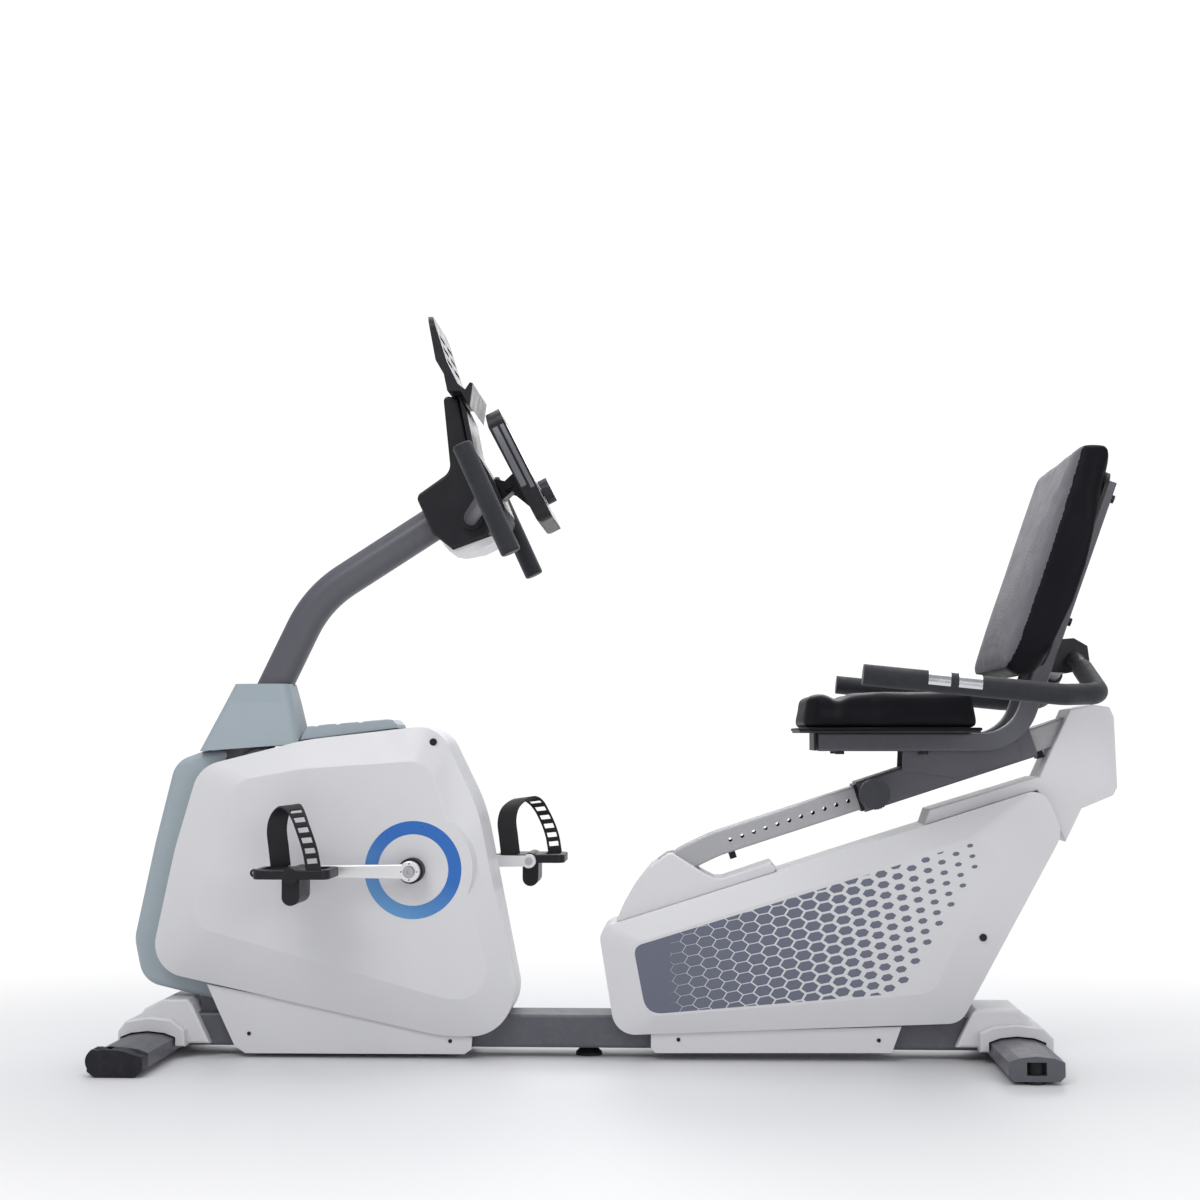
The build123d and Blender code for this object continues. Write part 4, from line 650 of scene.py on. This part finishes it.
def honeycomb():
    """Hexagons that shrink towards the seat end, and the solid field in front of them."""
    field = rounded_ring(FIELD, FIELD_RADII, 6)[::-1]
    right = (math.cos(TILT), math.sin(TILT))
    up = (-right[1], right[0])
    tip, top = COLUMN * 2 / 3, ROW / 2
    flat = COLUMN - tip
    shapes = []
    for column in range(-2, 26):
        for row in range(-24, 26):
            u = column * COLUMN
            v = (row + 0.5 * (column % 2)) * ROW
            x = COMB_X + u * right[0] + v * up[0]
            z = COMB_Z + u * right[1] + v * up[1]
            if x < COMB_FRONT or x > COMB_BACK - max(0.0, 0.32 - z) * COMB_SLANT:
                continue
            fill = fill_at(x)
            corners = ((tip, 0), (flat, top), (-flat, top), (-tip, 0), (-flat, -top), (flat, -top))
            ring = [(x + fill * (a * right[0] + b * up[0]), z + fill * (a * right[1] + b * up[1]))
                    for a, b in corners]
            ring = tidy_ring(clip(clip(ring, field), BEHIND_SOLID))
            if ring:
                shapes.append(ring)
    return shapes, field


def make_honeycomb():
    """Printed honeycomb on the outer face of both rear shrouds."""
    shapes, field = honeycomb()
    shapes.append(tidy_ring(clip(field, SOLID_ZONE)))
    for sign, side_name in ((-1, "left"), (1, "right")):
        face = abs(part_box("rear_" + side_name + "_shroud")[0 if sign < 0 else 1].y)
        y_low, y_high = sorted((sign * (face - 0.0002), sign * (face + 0.00025)))
        mesh = prism_mesh("honeycomb", shapes, y_low, y_high)
        new_piece("honeycomb_" + side_name, mesh, "root", "band_grey", HEX_PRINT)


make_ring()
make_honeycomb()


# ---- pedal straps ---------------------------------------------------------------
def catmull(points, steps):
    """Smooth curve through the points."""
    points = [Vector(p) for p in points]
    padded = [points[0] * 2 - points[1]] + points + [points[-1] * 2 - points[-2]]
    curve = []
    for i in range(1, len(padded) - 2):
        a, b, c, d = padded[i - 1:i + 3]
        for k in range(steps):
            t = k / steps
            curve.append(0.5 * (2 * b + (c - a) * t + (2 * a - 5 * b + 4 * c - d) * t * t
                                + (3 * b - a - 3 * c + d) * t ** 3))
    curve.append(padded[-2])
    return curve


def make_strap(side_name, sign):
    """Pedal strap: broad inner leg, arched top and an outer leg with ladder slots."""
    low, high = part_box(side_name + "_pedal")
    centre_x = (low.x + high.x) / 2
    inner = low.y if sign > 0 else high.y
    span = high.y - low.y
    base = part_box(side_name + "_pedal_strap")[0].z
    places = [(-0.030, 0.035, -0.002), (-0.034, 0.035, 0.030), (-0.037, 0.045, 0.060), (-0.030, 0.12, 0.084),
              (-0.010, 0.42, 0.098), (0.008, 0.74, 0.090), (0.024, 0.93, 0.062), (0.036, 0.985, 0.030),
              (0.042, 0.965, -0.002)]
    path = catmull([(centre_x + x, inner + sign * span * y, base + z) for x, y, z in places], 8)
    build = bmesh.new()
    columns = 6
    rows = []
    for i, point in enumerate(path):
        t = i / (len(path) - 1)
        half = 0.017 if t < 0.5 else 0.017 - 0.0045 * min(1.0, (t - 0.5) / 0.2)
        across = Vector((1.0, sign * 0.12, 0.18 - 0.1 * t)).normalized()
        row = [build.verts.new(point + across * half * (2 * k / columns - 1)) for k in range(columns + 1)]
        rows.append(row)
    slot_rows = set()
    first = int(len(rows) * 0.60)
    for slot in range(6):
        slot_rows.update((first + slot * 4, first + slot * 4 + 1))
    for i in range(len(rows) - 1):
        for k in range(columns):
            if i in slot_rows and 1 <= k < columns - 1 and i < len(rows) - 3:
                continue
            build.faces.new((rows[i][k], rows[i][k + 1], rows[i + 1][k + 1], rows[i + 1][k]))
    bmesh.ops.recalc_face_normals(build, faces=build.faces)
    mesh = bpy.data.meshes.new("strap")
    build.to_mesh(mesh)
    build.free()
    piece = new_piece(side_name + "_toe_strap", mesh, side_name + "_pedal", "rubber_black")
    solid = piece.modifiers.new("solid", "SOLIDIFY")
    solid.thickness = 0.0028
    solid.offset = 0.0
    bevel = piece.modifiers.new("bevel", "BEVEL")
    bevel.width = 0.0006
    bevel.segments = 2
    apply_modifiers(piece)
    smooth(piece.data, 40)
    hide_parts(side_name + "_pedal_strap")


make_strap("left", -1)
make_strap("right", 1)

# ---- small fittings --------------------------------------------------------------
DISPLAY_TOP, DISPLAY_LOW = Vector((-0.199, 0.0, 1.075)), Vector((-0.107, 0.0, 0.892))
DISPLAY_DOWN = (DISPLAY_LOW - DISPLAY_TOP).normalized()
DISPLAY_OUT = Vector((-DISPLAY_DOWN.z, 0.0, DISPLAY_DOWN.x))


def display_point(along, out):
    """X and Z of a point of the display, down its face and out of it."""
    point = DISPLAY_TOP + DISPLAY_DOWN * along + DISPLAY_OUT * out
    return (point.x, point.z)


def plate_piece(name, rings, y_from, y_to, body, slot, material=None, bevel=0.0004):
    """Thin applied plate on a side face, with softened edges."""
    mesh = prism_mesh(name, rings, min(y_from, y_to), max(y_from, y_to))
    piece = new_piece(name, mesh, body, slot, material)
    soften = piece.modifiers.new("soften", "BEVEL")
    soften.width = bevel
    soften.segments = 2
    apply_modifiers(piece)
    smooth(piece.data, 40)
    return piece


def make_display_sides():
    """Grey side strips of the display housing, on both sides of a dark groove."""
    for sign, side_name in ((-1, "left"), (1, "right")):
        face = abs(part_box("display_housing")[0 if sign < 0 else 1].y)
        rings = [[display_point(a, o) for a, o in ring] for ring in (
            ((0.030, -0.0035), (0.148, -0.0035), (0.148, -0.0105), (0.030, -0.0105)),
            ((0.030, -0.0145), (0.140, -0.0145), (0.140, -0.0245), (0.030, -0.0245)))]
        plate_piece("display_strip_" + side_name, rings, sign * (face - 0.0003), sign * (face + 0.0006),
                    "display", "black_plastic", PANEL_GREY)


def make_crank_caps():
    """Dark seal behind each crank boss and four small marks round the bolt."""
    for sign, side_name in ((-1, "left"), (1, "right")):
        inner = abs(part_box(side_name + "_crank")[1 if sign < 0 else 0].y)
        outer = abs(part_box(side_name + "_crank")[0 if sign < 0 else 1].y)
        steps = 48
        radius_in, radius_out = 0.0165, 0.0205
        seal = []
        for k in range(steps):
            a, b = 2 * math.pi * k / steps, 2 * math.pi * (k + 1) / steps
            seal.append([(CRANK_X + r * math.cos(t), CRANK_Z + r * math.sin(t))
                         for r, t in ((radius_in, a), (radius_out, a), (radius_out, b), (radius_in, b))])
        mesh = prism_mesh("seal", seal, *sorted((sign * (inner - 0.0275), sign * (inner - 0.0030))))
        new_piece("spindle_seal_" + side_name, mesh, "root", "rubber_black")
        marks = []
        for k in range(4):
            turn = math.pi / 2 * k
            across = Vector((math.cos(turn), math.sin(turn)))
            along = Vector((-across.y, across.x))
            middle = Vector((CRANK_X, CRANK_Z)) + across * 0.0125
            marks.append([tuple(middle + across * u + along * v)
                          for u, v in ((-0.0018, 0.0), (0.0014, -0.0013), (0.0014, 0.0013))])
        mesh = prism_mesh("marks", marks, *sorted((sign * (outer - 0.0002), sign * (outer + 0.0003))))
        new_piece("crank_marks_" + side_name, mesh, "crankset", "screw_black")


make_display_sides()
make_crank_caps()
